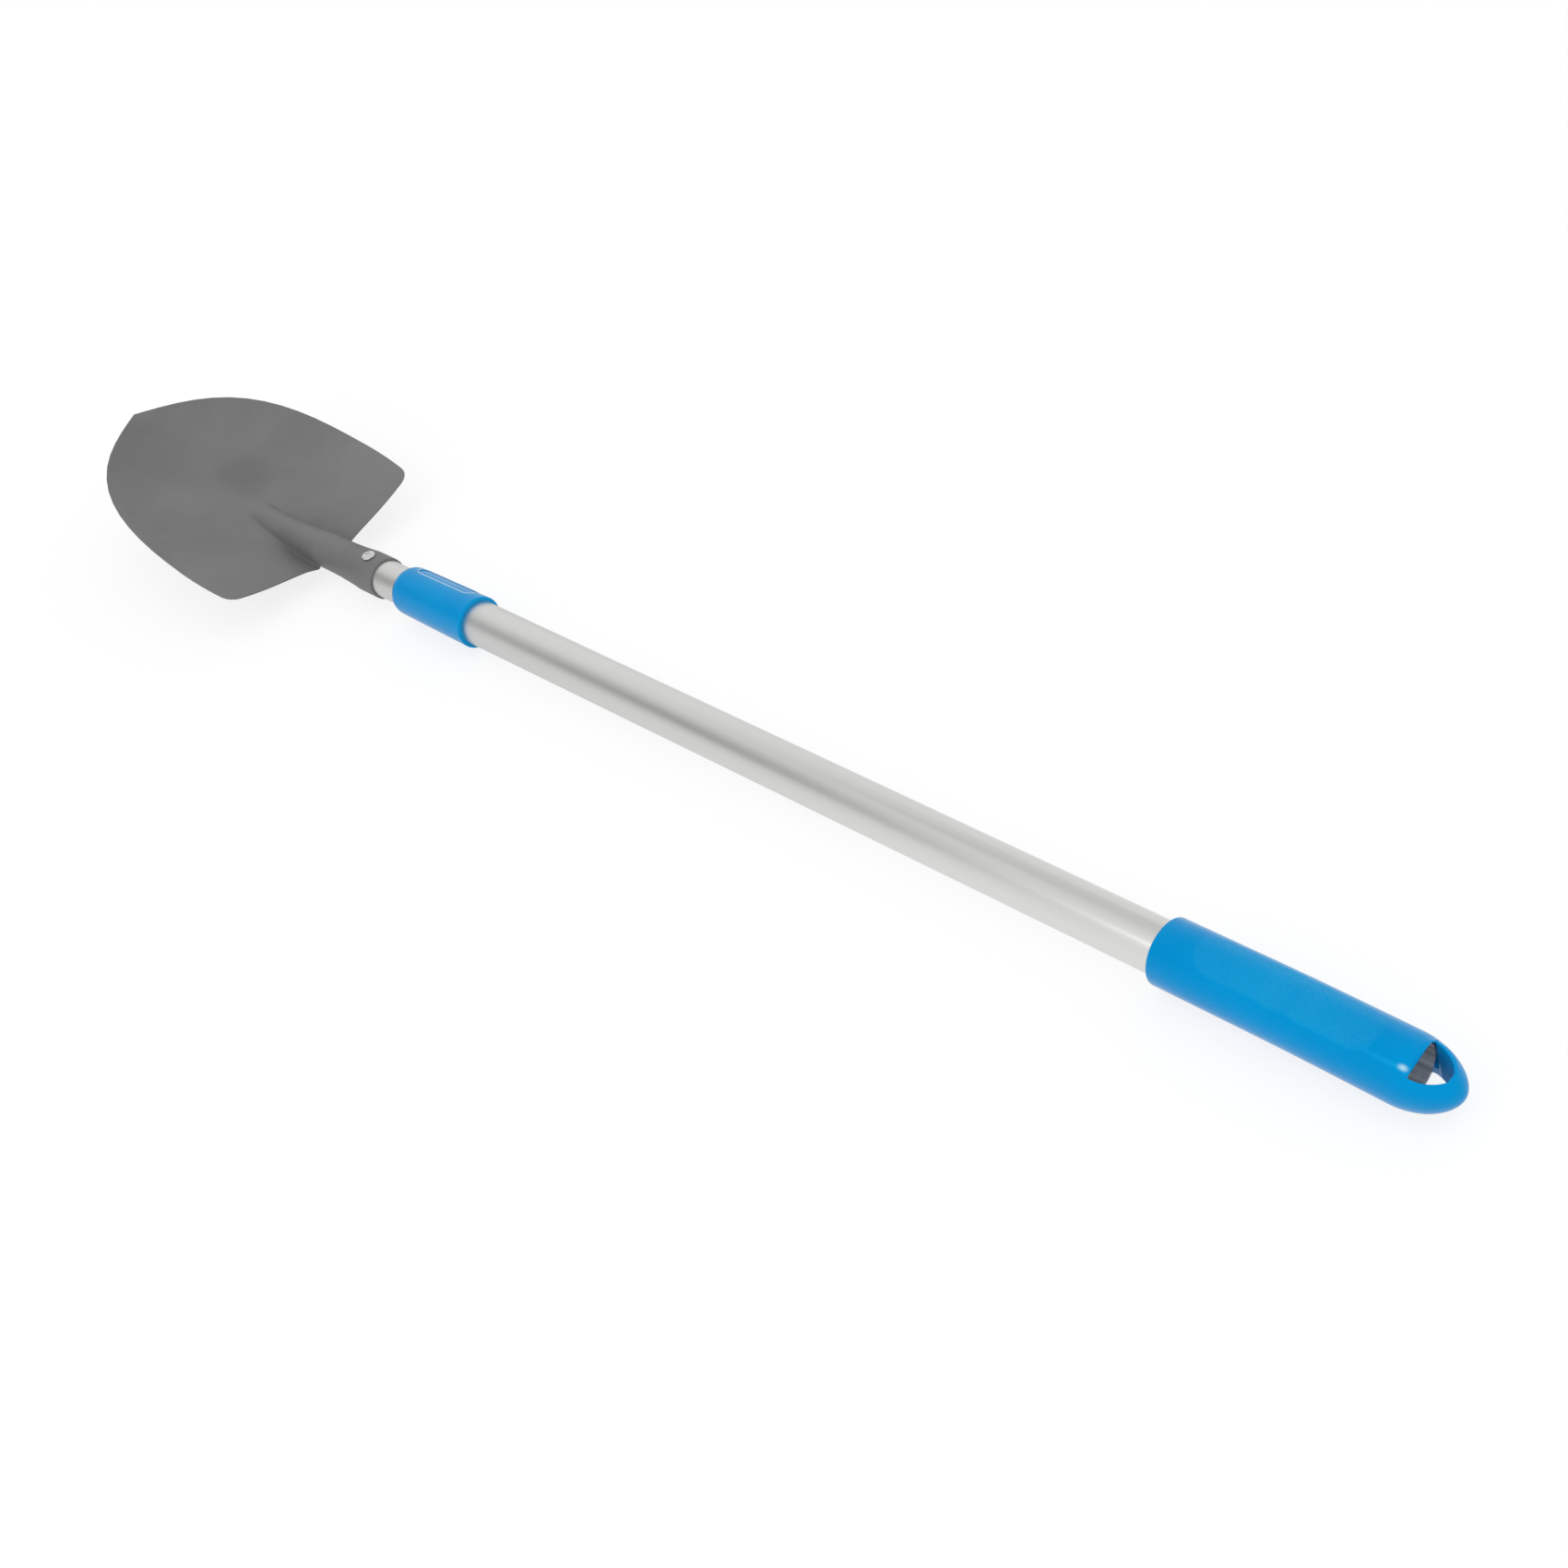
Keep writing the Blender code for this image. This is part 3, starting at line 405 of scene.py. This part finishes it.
def mix_colour(tree, factor, low, high):
    """Mixes two colours, each given as a value or as another node's output."""
    mix = add_node(tree, "ShaderNodeMix", data_type="RGBA")
    link(tree, factor, mix.inputs["Factor"])
    for index, colour in zip(MIX_COLOURS, (low, high)):
        feed(tree, mix.inputs[index], colour)
    return mix.outputs[MIX_COLOUR_RESULT]


def bump(tree, height, strength, distance):
    """A normal tilted by a height."""
    node = add_node(tree, "ShaderNodeBump", Strength=strength, Distance=distance)
    link(tree, height, node.inputs["Height"])
    return node.outputs["Normal"]


def new_material(name, **values):
    """A material, its node tree and its shader, with values for the shader's own sockets."""
    material = bpy.data.materials.new(name)
    material.use_nodes = True
    shader = material.node_tree.nodes["Principled BSDF"]
    for label, value in values.items():
        shader.inputs[label].default_value = value
    return material, material.node_tree, shader


def grained_material(name, light, deep, worn, roughness, grain_scale, patch_scale, bump_depth, wear_width):
    """A sprayed or moulded surface: slow patches of tone, fine grain, and edges that rub pale."""
    material, tree, shader = new_material(name)
    grain = place_group(tree, GRAIN, Scale=grain_scale, Patch_Scale=patch_scale)
    wear = place_group(tree, WEAR, Width=wear_width)
    colour = mix_colour(tree, grain.outputs["Tone"], deep, light)
    colour = mix_colour(tree, wear.outputs["Mask"], colour, worn)
    link(tree, colour, shader.inputs["Base Color"])
    link(tree, rescale(tree, grain.outputs["Height"], *roughness), shader.inputs["Roughness"])
    link(tree, bump(tree, grain.outputs["Height"], GRAIN_BUMP, bump_depth), shader.inputs["Normal"])
    return material


def drawn_material(name, light, dull, roughness, bump_depth):
    """Bare or plated metal, with the fine lines of its drawing along X."""
    material, tree, shader = new_material(name, Metallic=1.0)
    lines = place_group(tree, DRAWN)
    link(tree, mix_colour(tree, lines.outputs["Tone"], dull, light), shader.inputs["Base Color"])
    link(tree, rescale(tree, lines.outputs["Tone"], *roughness), shader.inputs["Roughness"])
    link(tree, bump(tree, lines.outputs["Height"], LINE_BUMP, bump_depth), shader.inputs["Normal"])
    return material


def face_mask(tree):
    """1 on the outer tube's drawn face and 0 in its bore, by the distance from the pole's axis."""
    from_axis = calculate_vector(tree, "SUBTRACT", own_place(tree), (0, 0, AXIS_HEIGHT))
    distance = calculate_vector(tree, "LENGTH", calculate_vector(tree, "MULTIPLY", from_axis, (0, 1, 1)))
    return calculate(tree, "GREATER_THAN", distance, BORE_EDGE)


def bored_aluminium():
    """A drawn tube whose bore is duller, with streaks of painted reflection and shade."""
    material = drawn_material("bored_aluminium", ALUMINIUM, ALUMINIUM_DULL, **TUBE_FINISH)
    tree = material.node_tree
    shader = tree.nodes["Principled BSDF"]
    face = face_mask(tree)
    # Streaks of painted reflection and shade in the bore
    streaks = place_group(tree, DRAWN, Lines=BORE_LINES)
    contrast = rescale(tree, streaks.outputs["Tone"], *BORE_PAINTED_STREAKS)
    bore = mix_colour(tree, contrast, ALUMINIUM_BORE_PAINTED_SHADE, ALUMINIUM_BORE_PAINTED_LIGHT)
    outside = shader.inputs["Base Color"].links[0].from_socket
    link(tree, mix_colour(tree, face, bore, outside), shader.inputs["Base Color"])
    link(tree, rescale(tree, face, BORE_METAL, 1), shader.inputs["Metallic"])
    gloss = shader.inputs["Roughness"].links[0].from_socket
    link(tree, calculate(tree, "ADD", gloss, rescale(tree, face, BORE_MATT, 0)), shader.inputs["Roughness"])
    return material


def blue_plastic(name, light, deep):
    """Moulded plastic whose gloss is tinted by its own blue."""
    # The plastic's pale edges are wear, and partly a painted highlight along them
    plastic = grained_material(name, light, deep, BLUE_WORN_AND_HIGHLIT, **PLASTIC_FINISH)
    shader = plastic.node_tree.nodes["Principled BSDF"]
    shader.inputs["Specular Tint"].default_value = BLUE_SHEEN
    shader.inputs["Specular IOR Level"].default_value = BLUE_SPECULAR
    return plastic


def hole_mask(tree):
    """1 on the walls of the hanging hole, which the mould leaves matt, and 0 on the rest of the grip."""
    offset = calculate_vector(tree, "SUBTRACT", own_place(tree), (GRIP_BOX[1].x - HOLE_MIDDLE, 0, 0))
    share = calculate_vector(tree, "MULTIPLY", offset, (1 / HOLE_REACH[0], 1 / HOLE_REACH[1], 0))
    return calculate(tree, "LESS_THAN", calculate_vector(tree, "LENGTH", share), 1)


def grip_plastic():
    """The grip's plastic, with a painted glint beside its hanging hole, and matt inside it."""
    plastic = blue_plastic("grip_plastic", BLUE, BLUE_DEEP)
    tree = plastic.node_tree
    shader = tree.nodes["Principled BSDF"]
    colour = shader.inputs["Base Color"].links[0].from_socket
    rear = Vector((GRIP_BOX[1].x, 0, AXIS_HEIGHT))
    # Painted glint: a pale spot painted where a highlight sits at the hole's corner
    glint = place_group(tree, SPOT, Middle=rear + Vector(PAINTED_GLINT_MIDDLE), Reach=PAINTED_GLINT_REACH)
    link(tree, mix_colour(tree, glint.outputs["Mask"], colour, BLUE_PAINTED_GLINT), shader.inputs["Base Color"])
    gloss = shader.inputs["Roughness"].links[0].from_socket
    matt = calculate(tree, "MULTIPLY_ADD", hole_mask(tree), HOLE_MATT, gloss)
    link(tree, matt, shader.inputs["Roughness"])
    return plastic


def paint_with_painted_light():
    """Satin paint of the blade and socket, lighter or darker in places as painted light and shade."""
    paint = grained_material("grey_paint", PAINT, PAINT_DEEP, PAINT_WORN, **PAINT_FINISH)
    tree = paint.node_tree
    grain = next(node for node in tree.nodes if node.type == "GROUP" and node.node_tree == GRAIN)
    blend = grain.outputs["Tone"].links[0].to_node
    level = rescale(tree, grain.outputs["Tone"], (1 - PAINT_PATCHES) / 2, (1 + PAINT_PATCHES) / 2)
    tip = Vector((HEAD_BOX[0].x, 0, AXIS_HEIGHT))
    # Painted light and shade: each place is made lighter or darker to stand for how the light falls there
    for middle, half_sizes, change in PAINTED_LIGHT_SPOTS:
        spot = place_group(tree, SPOT, Middle=tip + Vector(middle) * MM, Reach=Vector(half_sizes) * MM)
        level = calculate(tree, "MULTIPLY_ADD", spot.outputs["Mask"], change, level)
    link(tree, level, blend.inputs["Factor"])
    return paint


def make_materials():
    """The finishes that the nodes and pieces take, by the record's slots and by name."""
    return {"painted_steel": paint_with_painted_light(),
            "blue_plastic": blue_plastic("blue_plastic", BLUE, BLUE_DEEP),
            "grip_plastic": grip_plastic(),
            "knurled_plastic": blue_plastic("knurled_plastic", BLUE_KNURL, BLUE),
            "pad_highlight_plastic": blue_plastic("pad_highlight_plastic", BLUE_PAD_HIGHLIGHT, BLUE_PAD_HIGHLIGHT_DEEP),
            "white_nylon": grained_material("white_nylon", NYLON, NYLON_DEEP, WHITE, **NYLON_FINISH),
            "aluminium_tube": drawn_material("drawn_aluminium", ALUMINIUM, ALUMINIUM_DULL, **TUBE_FINISH),
            "bored_aluminium": bored_aluminium(),
            "plated_steel": drawn_material("plated_steel", STEEL, STEEL_DULL, **STEEL_FINISH)}


def make_smoother(name, crease):
    """Geometry nodes that weld a solid's facets and shade it smooth, with its real edges kept sharp."""
    tree = bpy.data.node_groups.new(name, "GeometryNodeTree")
    tree.interface.new_socket("Geometry", in_out="INPUT", socket_type="NodeSocketGeometry")
    tree.interface.new_socket("Geometry", in_out="OUTPUT", socket_type="NodeSocketGeometry")
    enter = tree.nodes.new("NodeGroupInput")
    leave = tree.nodes.new("NodeGroupOutput")
    weld = add_node(tree, "GeometryNodeMergeByDistance", Distance=WELD_DISTANCE)
    shade = add_node(tree, "GeometryNodeSetShadeSmooth", domain="FACE")
    sharpen = add_node(tree, "GeometryNodeSetShadeSmooth", domain="EDGE")
    sharpen.inputs["Shade Smooth"].default_value = False
    angle = tree.nodes.new("GeometryNodeInputMeshEdgeAngle")
    over = add_node(tree, "FunctionNodeCompare", data_type="FLOAT", operation="GREATER_THAN")
    feed_all(tree, over, angle.outputs["Unsigned Angle"], crease)
    link(tree, enter.outputs["Geometry"], weld.inputs["Geometry"])
    link(tree, weld.outputs["Geometry"], shade.inputs["Geometry"])
    link(tree, shade.outputs["Geometry"], sharpen.inputs["Geometry"])
    link(tree, over.outputs["Result"], sharpen.inputs["Selection"])
    link(tree, sharpen.outputs["Geometry"], leave.inputs["Geometry"])
    return tree


def round_edges(node, width):
    """Rounds a node's sharp edges, after a weld that joins its facets."""
    weld = node.modifiers.new("weld", "WELD")
    weld.merge_threshold = WELD_DISTANCE
    edge = node.modifiers.new("edge", "BEVEL")
    edge.width = width
    edge.segments = EDGE_SEGMENTS
    edge.limit_method = "ANGLE"
    edge.angle_limit = EDGE_ANGLE


def dress_nodes(materials):
    """Gives every CAD node its slot's finish, smooth shading and, where a width is set, rounded edges."""
    smoother = make_smoother("smooth_facets", CREASE_ANGLE)
    sheet_smoother = make_smoother("smooth_sheet", SHEET_CREASE_ANGLE)
    slots = {part["node"]: part["material_slot"] for part in frame["record"]["subparts"]}
    for name, node in nodes.items():
        node.data.materials.clear()
        node.data.materials.append(materials[slots[name]])
        normals = node.data.attributes.get("custom_normal")
        if normals:
            node.data.attributes.remove(normals)
        node.data.shade_smooth()
        if name in EDGE_ROUND:
            round_edges(node, EDGE_ROUND[name])
        smooth = node.modifiers.new("smooth_facets", "NODES")
        smooth.node_group = sheet_smoother if name == "trowel_head" else smoother
    nodes["outer_tube"].data.materials[0] = materials["bored_aluminium"]
    nodes["grip"].data.materials[0] = materials["grip_plastic"]


def add_piece(name, shape, material, body):
    """Makes an object of a bmesh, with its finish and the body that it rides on."""
    bmesh.ops.recalc_face_normals(shape, faces=shape.faces)
    mesh = bpy.data.meshes.new(name)
    shape.to_mesh(mesh)
    shape.free()
    piece = bpy.data.objects.new(name, mesh)
    bpy.context.scene.collection.objects.link(piece)
    mesh.materials.append(material)
    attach(piece, body)
    return piece


def bridge(shape, first, second):
    """Joins two loops, which have the same number of points, with four-sided faces."""
    for index in range(len(first)):
        shape.faces.new((first[index - 1], first[index], second[index], second[index - 1]))


def shade_piece(piece, crease):
    """Smooth shading, with edges over an angle kept sharp."""
    piece.data.shade_smooth()
    piece.data.set_sharp_from_angle(angle=crease)


def grip_section(station):
    """The grip's radius and the height of its middle at a distance from its front end."""
    swell = min(1, station / (GRIP_LENGTH - GRIP_NOSE_LENGTH))
    share = max(0, 1 - (GRIP_LENGTH - station) / GRIP_DROOP_LENGTH)
    middle = AXIS_HEIGHT - GRIP_DROOP * share ** 2 * (3 - 2 * share)
    return GRIP_FRONT_RADIUS + (GRIP_REAR_RADIUS - GRIP_FRONT_RADIUS) * swell, middle


def grip_surface(station, across):
    """Height of the grip's upper surface at a distance from its front end and from its middle plane."""
    radius, middle = grip_section(station)
    nose = max(0, station - GRIP_LENGTH + GRIP_NOSE_LENGTH) / GRIP_NOSE_LENGTH
    radius *= (1 - nose ** GRIP_NOSE_POWER) ** (1 / GRIP_NOSE_POWER)
    return middle + math.sqrt(radius ** 2 - across ** 2)


def build_knurl(material):
    """Oblong patch of fine pyramids, raised on top of the grip."""
    half_width = KNURL_HALF_TURN * GRIP_FRONT_RADIUS
    columns = int((KNURL_END - KNURL_START) / KNURL_STEP)
    rows = int(half_width / KNURL_STEP)
    shape = bmesh.new()
    grid = {}
    for i in range(columns + 1):
        station = KNURL_START + KNURL_STEP * i
        radius, middle = grip_section(station)
        past_end = max(KNURL_START + half_width - station, station - KNURL_END + half_width, 0)
        for j in range(-rows, rows + 1):
            across = KNURL_STEP * j
            margin = half_width - math.hypot(past_end, across)
            if margin < 0:
                continue
            peak = KNURL_HEIGHT * min(1, margin / KNURL_RIM) if (i + j) % 2 else 0
            level = radius - KNURL_SINK + peak
            angle = KNURL_TURN + across / radius
            place = (GRIP_BOX[0].x + station, level * math.sin(angle), middle + level * math.cos(angle))
            grid[i, j] = shape.verts.new(place)
    for i, j in list(grid):
        corners = [grid.get(key) for key in ((i, j), (i + 1, j), (i + 1, j + 1), (i, j + 1))]
        if None in corners:
            continue
        # Each square is folded between its two low corners, which leaves four-sided pyramids
        first = 0 if (i + j) % 2 else 1
        for turn in (first, first + 2):
            shape.faces.new([corners[(turn + step) % 4] for step in (3, 0, 1)])
    bmesh.ops.delete(shape, geom=[v for v in shape.verts if not v.link_faces], context="VERTS")
    knurl = add_piece("grip_knurl", shape, material, "handle")
    back = knurl.modifiers.new("back", "SOLIDIFY")
    back.thickness = KNURL_BACK
    back.offset = -1


def turned_ring(corners):
    """A ring turned round the pole's axis from a closed profile of places along the axis and radii."""
    shape = bmesh.new()
    loops = []
    for side in range(RING_SIDES):
        angle = 2 * math.pi * side / RING_SIDES
        loops.append([shape.verts.new((x, radius * math.sin(angle), AXIS_HEIGHT + radius * math.cos(angle)))
                      for x, radius in corners])
    for side in range(RING_SIDES):
        bridge(shape, loops[side - 1], loops[side])
    return shape


def build_seats(materials):
    """Closes the clearance round each tube where the real collar, grip and socket are pressed on."""
    # Each as name, rim, direction from the rim into the piece, tube radius, rim chamfer, slot and body
    seats = [
        ("collar_seat", COLLAR_BOX[1].x, -1, OUTER_TUBE_RADIUS, COLLAR_CHAMFER, "blue_plastic", "handle"),
        ("grip_seat", GRIP_BOX[0].x, 1, OUTER_TUBE_RADIUS, 0, "blue_plastic", "handle"),
        ("socket_seat", HEAD_BOX[1].x, -1, INNER_TUBE_RADIUS, 0, "painted_steel", "inner_pole")]
    for name, rim, inward, radius, chamfer, slot, body in seats:
        low = radius - SEAT_BITE
        high = radius + FIT_GAP + SEAT_BITE
        chamfered = high + max(0, chamfer - SEAT_SETBACK)
        corners = [(SEAT_DEPTH, low), (SEAT_SETBACK, low), (SEAT_SETBACK, chamfered),
                   (max(chamfer, 2 * SEAT_SETBACK), high), (SEAT_DEPTH, high)]
        shape = turned_ring([(rim + inward * depth, reach) for depth, reach in corners])
        shade_piece(add_piece(name, shape, materials[slot], body), CREASE_ANGLE)


def build_tube_end(material):
    """The outer tube's sawn end, which shows inside the hanging hole."""
    start = TUBE_BOX[1].x - TUBE_END_OVERLAP
    end = TUBE_BOX[1].x + TUBE_END_REACH
    bore = OUTER_TUBE_RADIUS - TUBE_WALL - TUBE_END_SKIN
    face = OUTER_TUBE_RADIUS + TUBE_END_SKIN
    shape = turned_ring([(start, bore), (end, bore), (end, face), (start, face)])
    shade_piece(add_piece("tube_end", shape, material, "handle"), CREASE_ANGLE)


def lip_section(wall, across):
    """The lip's outline at a distance from the middle plane: a quarter turn over the wall, and its body."""
    start = wall + LIP_START
    end = wall + LIP_END
    back = wall + LIP_BACK
    top = grip_surface(start - GRIP_BOX[0].x, across) - LIP_SINK
    edge = min(AXIS_HEIGHT + LIP_EDGE + LIP_CLIMB * across, top - LIP_LEAST_ROLL)
    under = edge - LIP_THICKNESS
    points = []
    for step in range(LIP_STEPS + 1):
        angle = math.pi / 2 * step / LIP_STEPS
        points.append((start + (end - start) * math.sin(angle), edge + (top - edge) * math.cos(angle)))
    points += [(end - LIP_NOSE_BACK, edge - LIP_NOSE_DROP), (end - LIP_THICKNESS, under),
               (back, under), (back, top - LIP_SINK)]
    return [(x, across, z) for x, z in points]


def build_hole_lip(material):
    """The grip's skin rolls over the front wall of the hanging hole in a rounded lip."""
    wall = GRIP_BOX[1].x - HOLE_WALL
    shape = bmesh.new()
    sections = []
    for step in range(LIP_SECTIONS + 1):
        across = LIP_HALF_WIDTH * (2 * step / LIP_SECTIONS - 1)
        sections.append([shape.verts.new(point) for point in lip_section(wall, across)])
    for first, second in zip(sections, sections[1:]):
        bridge(shape, first, second)
    for end in (sections[0], sections[-1]):
        shape.faces.new(end)
    shade_piece(add_piece("hole_lip", shape, material, "handle"), EDGE_ANGLE)


def pad_outline():
    """Points round the pad as distances along the collar and round it, with the outward direction of each."""
    half = PAD_WIDTH / 2
    straight = PAD_LENGTH - PAD_WIDTH
    points = []
    for side, middle in enumerate((straight / 2, -straight / 2)):
        for step in range(PAD_END_STEPS + 1):
            turn = math.pi * (side + step / PAD_END_STEPS) - math.pi / 2
            out = (math.cos(turn), math.sin(turn))
            points.append(((middle + half * out[0], half * out[1]), out))
    return points


def pad_rim_profile():
    """The bead's section, as distances across it and over the collar: a half oval on a sunken foot."""
    half = PAD_RIM_WIDTH / 2
    points = []
    for step in range(PAD_BEAD_STEPS + 1):
        turn = math.pi * step / PAD_BEAD_STEPS
        points.append((half * math.cos(turn), PAD_RIM_HEIGHT * math.sin(turn)))
    return points + [(-half, -PAD_RIM_HEIGHT), (half, -PAD_RIM_HEIGHT)]


def build_pad_rim(material):
    """Thin round-topped bead that follows the pad's outline on the collar, pale blue as a painted highlight.
    """
    length = COLLAR_BOX[1].x - COLLAR_BOX[0].x
    middle = COLLAR_BOX[1].x - PAD_REAR_MARGIN - PAD_LENGTH / 2
    shape = bmesh.new()
    rows = []
    for (along, across), out in pad_outline():
        row = []
        for offset, rise in pad_rim_profile():
            x = middle + along + out[0] * offset
            share = (COLLAR_BOX[1].x - x) / length
            radius = COLLAR_REAR_RADIUS + (COLLAR_FRONT_RADIUS - COLLAR_REAR_RADIUS) * share
            angle = PAD_TURN + (across + out[1] * offset) / radius
            level = radius + rise
            row.append(shape.verts.new((x, level * math.sin(angle), AXIS_HEIGHT + level * math.cos(angle))))
        rows.append(row)
    for first, second in zip(rows, rows[1:] + rows[:1]):
        bridge(shape, first, second)
    # The bead takes the pale blue of a painted highlight
    rim = add_piece("pad_rim", shape, material, "handle")
    rim.data.shade_smooth()


def aim(azimuth, height):
    """Unit vector towards a place in the studio, given in degrees."""
    turn = math.radians(azimuth)
    rise = math.radians(height)
    return Vector((math.cos(rise) * math.cos(turn), math.cos(rise) * math.sin(turn), math.sin(rise)))


def room_patch(tree, direction, azimuth, height, spread):
    """Soft round patch of the room's wall: 1 in its middle, fading to 0 around it."""
    fall = 1 / math.radians(spread) ** 2
    meet = calculate_vector(tree, "DOT_PRODUCT", direction, aim(azimuth, height))
    return calculate(tree, "EXPONENT", calculate(tree, "MULTIPLY_ADD", meet, fall, -fall))


def build_room():
    """The studio's pale walls light the object, and the camera sees them white."""
    world = bpy.data.worlds.new("studio")
    bpy.context.scene.world = world
    world.use_nodes = True
    tree = world.node_tree
    tree.nodes.clear()
    output = tree.nodes.new("ShaderNodeOutputWorld")
    path = tree.nodes.new("ShaderNodeLightPath")
    direction = tree.nodes.new("ShaderNodeTexCoord").outputs["Generated"]
    level = ROOM_LIGHT
    for azimuth, height, spread, change in ROOM_PATCHES:
        patch = room_patch(tree, direction, azimuth, height, spread)
        level = calculate(tree, "MULTIPLY_ADD", patch, ROOM_LIGHT * change, level)
    room = add_node(tree, "ShaderNodeBackground", Color=WHITE)
    feed(tree, room.inputs["Strength"], level)
    plain = add_node(tree, "ShaderNodeBackground", Color=WHITE, Strength=1.0)
    choose = tree.nodes.new("ShaderNodeMixShader")
    feed_all(tree, choose, path.outputs["Is Camera Ray"], room.outputs[0], plain.outputs[0])
    link(tree, choose.outputs[0], output.inputs["Surface"])


def build_lamp():
    """Soft lamp over the brighter side, aimed at the end of the grip."""
    lamp = bpy.data.lights.new("softbox", "AREA")
    lamp.shape = "RECTANGLE"
    lamp.size, lamp.size_y = LAMP_SIZE
    lamp.energy = LAMP_POWER
    box = bpy.data.objects.new("softbox", lamp)
    bpy.context.scene.collection.objects.link(box)
    middle = Vector((GRIP_BOX[1].x, 0, AXIS_HEIGHT))
    direction = aim(LAMP_AZIMUTH, LAMP_HEIGHT)
    box.location = middle + direction * LAMP_DISTANCE
    box.rotation_euler = direction.to_track_quat("Z", "Y").to_euler()


def floor_glow(tree, mirrored):
    """The floor's own glow, which metal sees fade from the grip's end towards the blade."""
    split = tree.nodes.new("ShaderNodeSeparateXYZ")
    link(tree, own_place(tree), split.inputs[0])
    fade = rescale(tree, split.outputs["X"], FLOOR_DIM[1], FLOOR_CLEAR[1], FLOOR_DIM[0], FLOOR_CLEAR[0],
                   "SMOOTHSTEP")
    choose = add_node(tree, "ShaderNodeMix", data_type="FLOAT")
    link(tree, mirrored, choose.inputs["Factor"])
    for index, operand in zip(MIX_NUMBERS, (1, fade)):
        feed(tree, choose.inputs[index], operand)
    return calculate(tree, "MULTIPLY", choose.outputs[MIX_NUMBER_RESULT], FLOOR_GLOW)


def floor_material():
    """Pale floor that looks white to the camera and in reflections, and still holds a soft shadow."""
    material = bpy.data.materials.new("floor")
    material.use_nodes = True
    tree = material.node_tree
    tree.nodes.clear()
    output = tree.nodes.new("ShaderNodeOutputMaterial")
    path = tree.nodes.new("ShaderNodeLightPath")
    seen = calculate(tree, "MAXIMUM", path.outputs["Is Camera Ray"], path.outputs["Is Glossy Ray"])
    clear = calculate(tree, "MAXIMUM", seen, path.outputs["Is Transmission Ray"])
    bounce = add_node(tree, "ShaderNodeBsdfDiffuse", Color=FLOOR_BOUNCE)
    paint = add_node(tree, "ShaderNodeBsdfDiffuse", Color=FLOOR_PAINT)
    glow = add_node(tree, "ShaderNodeEmission", Color=WHITE)
    link(tree, floor_glow(tree, path.outputs["Is Glossy Ray"]), glow.inputs["Strength"])
    white = feed_all(tree, tree.nodes.new("ShaderNodeAddShader"), paint.outputs[0], glow.outputs[0])
    choose = tree.nodes.new("ShaderNodeMixShader")
    feed_all(tree, choose, clear, bounce.outputs[0], white.outputs[0])
    link(tree, choose.outputs[0], output.inputs["Surface"])
    return material


def build_floor():
    """A wide flat floor, which is no part of the object."""
    shape = bmesh.new()
    bmesh.ops.create_grid(shape, x_segments=2, y_segments=2, size=FLOOR_SIZE / 2)
    mesh = bpy.data.meshes.new("floor")
    shape.to_mesh(mesh)
    shape.free()
    floor = bpy.data.objects.new("floor", mesh)
    bpy.context.scene.collection.objects.link(floor)
    mesh.materials.append(floor_material())


def build_camera():
    """The camera at the photograph's viewing angle."""
    data = bpy.data.cameras.new("camera")
    data.sensor_width = SENSOR_MM
    data.lens = FOCAL_PIXELS / IMAGE_PIXELS * SENSOR_MM
    data.clip_start = CAMERA_NEAR
    camera = bpy.data.objects.new("camera", data)
    bpy.context.scene.collection.objects.link(camera)
    camera.location = Vector((COLLAR_BOX[1].x, 0, AXIS_HEIGHT)) + Vector(CAMERA_FROM_COLLAR)
    camera.rotation_euler = [math.radians(angle) for angle in CAMERA_TURN]
    bpy.context.scene.camera = camera
    bpy.context.scene.view_settings.view_transform = "Standard"


build_camera()
build_room()
build_lamp()
build_floor()
materials = make_materials()
dress_nodes(materials)
build_knurl(materials["knurled_plastic"])
build_seats(materials)
build_tube_end(materials["bored_aluminium"])
build_hole_lip(materials["grip_plastic"])
build_pad_rim(materials["pad_highlight_plastic"])
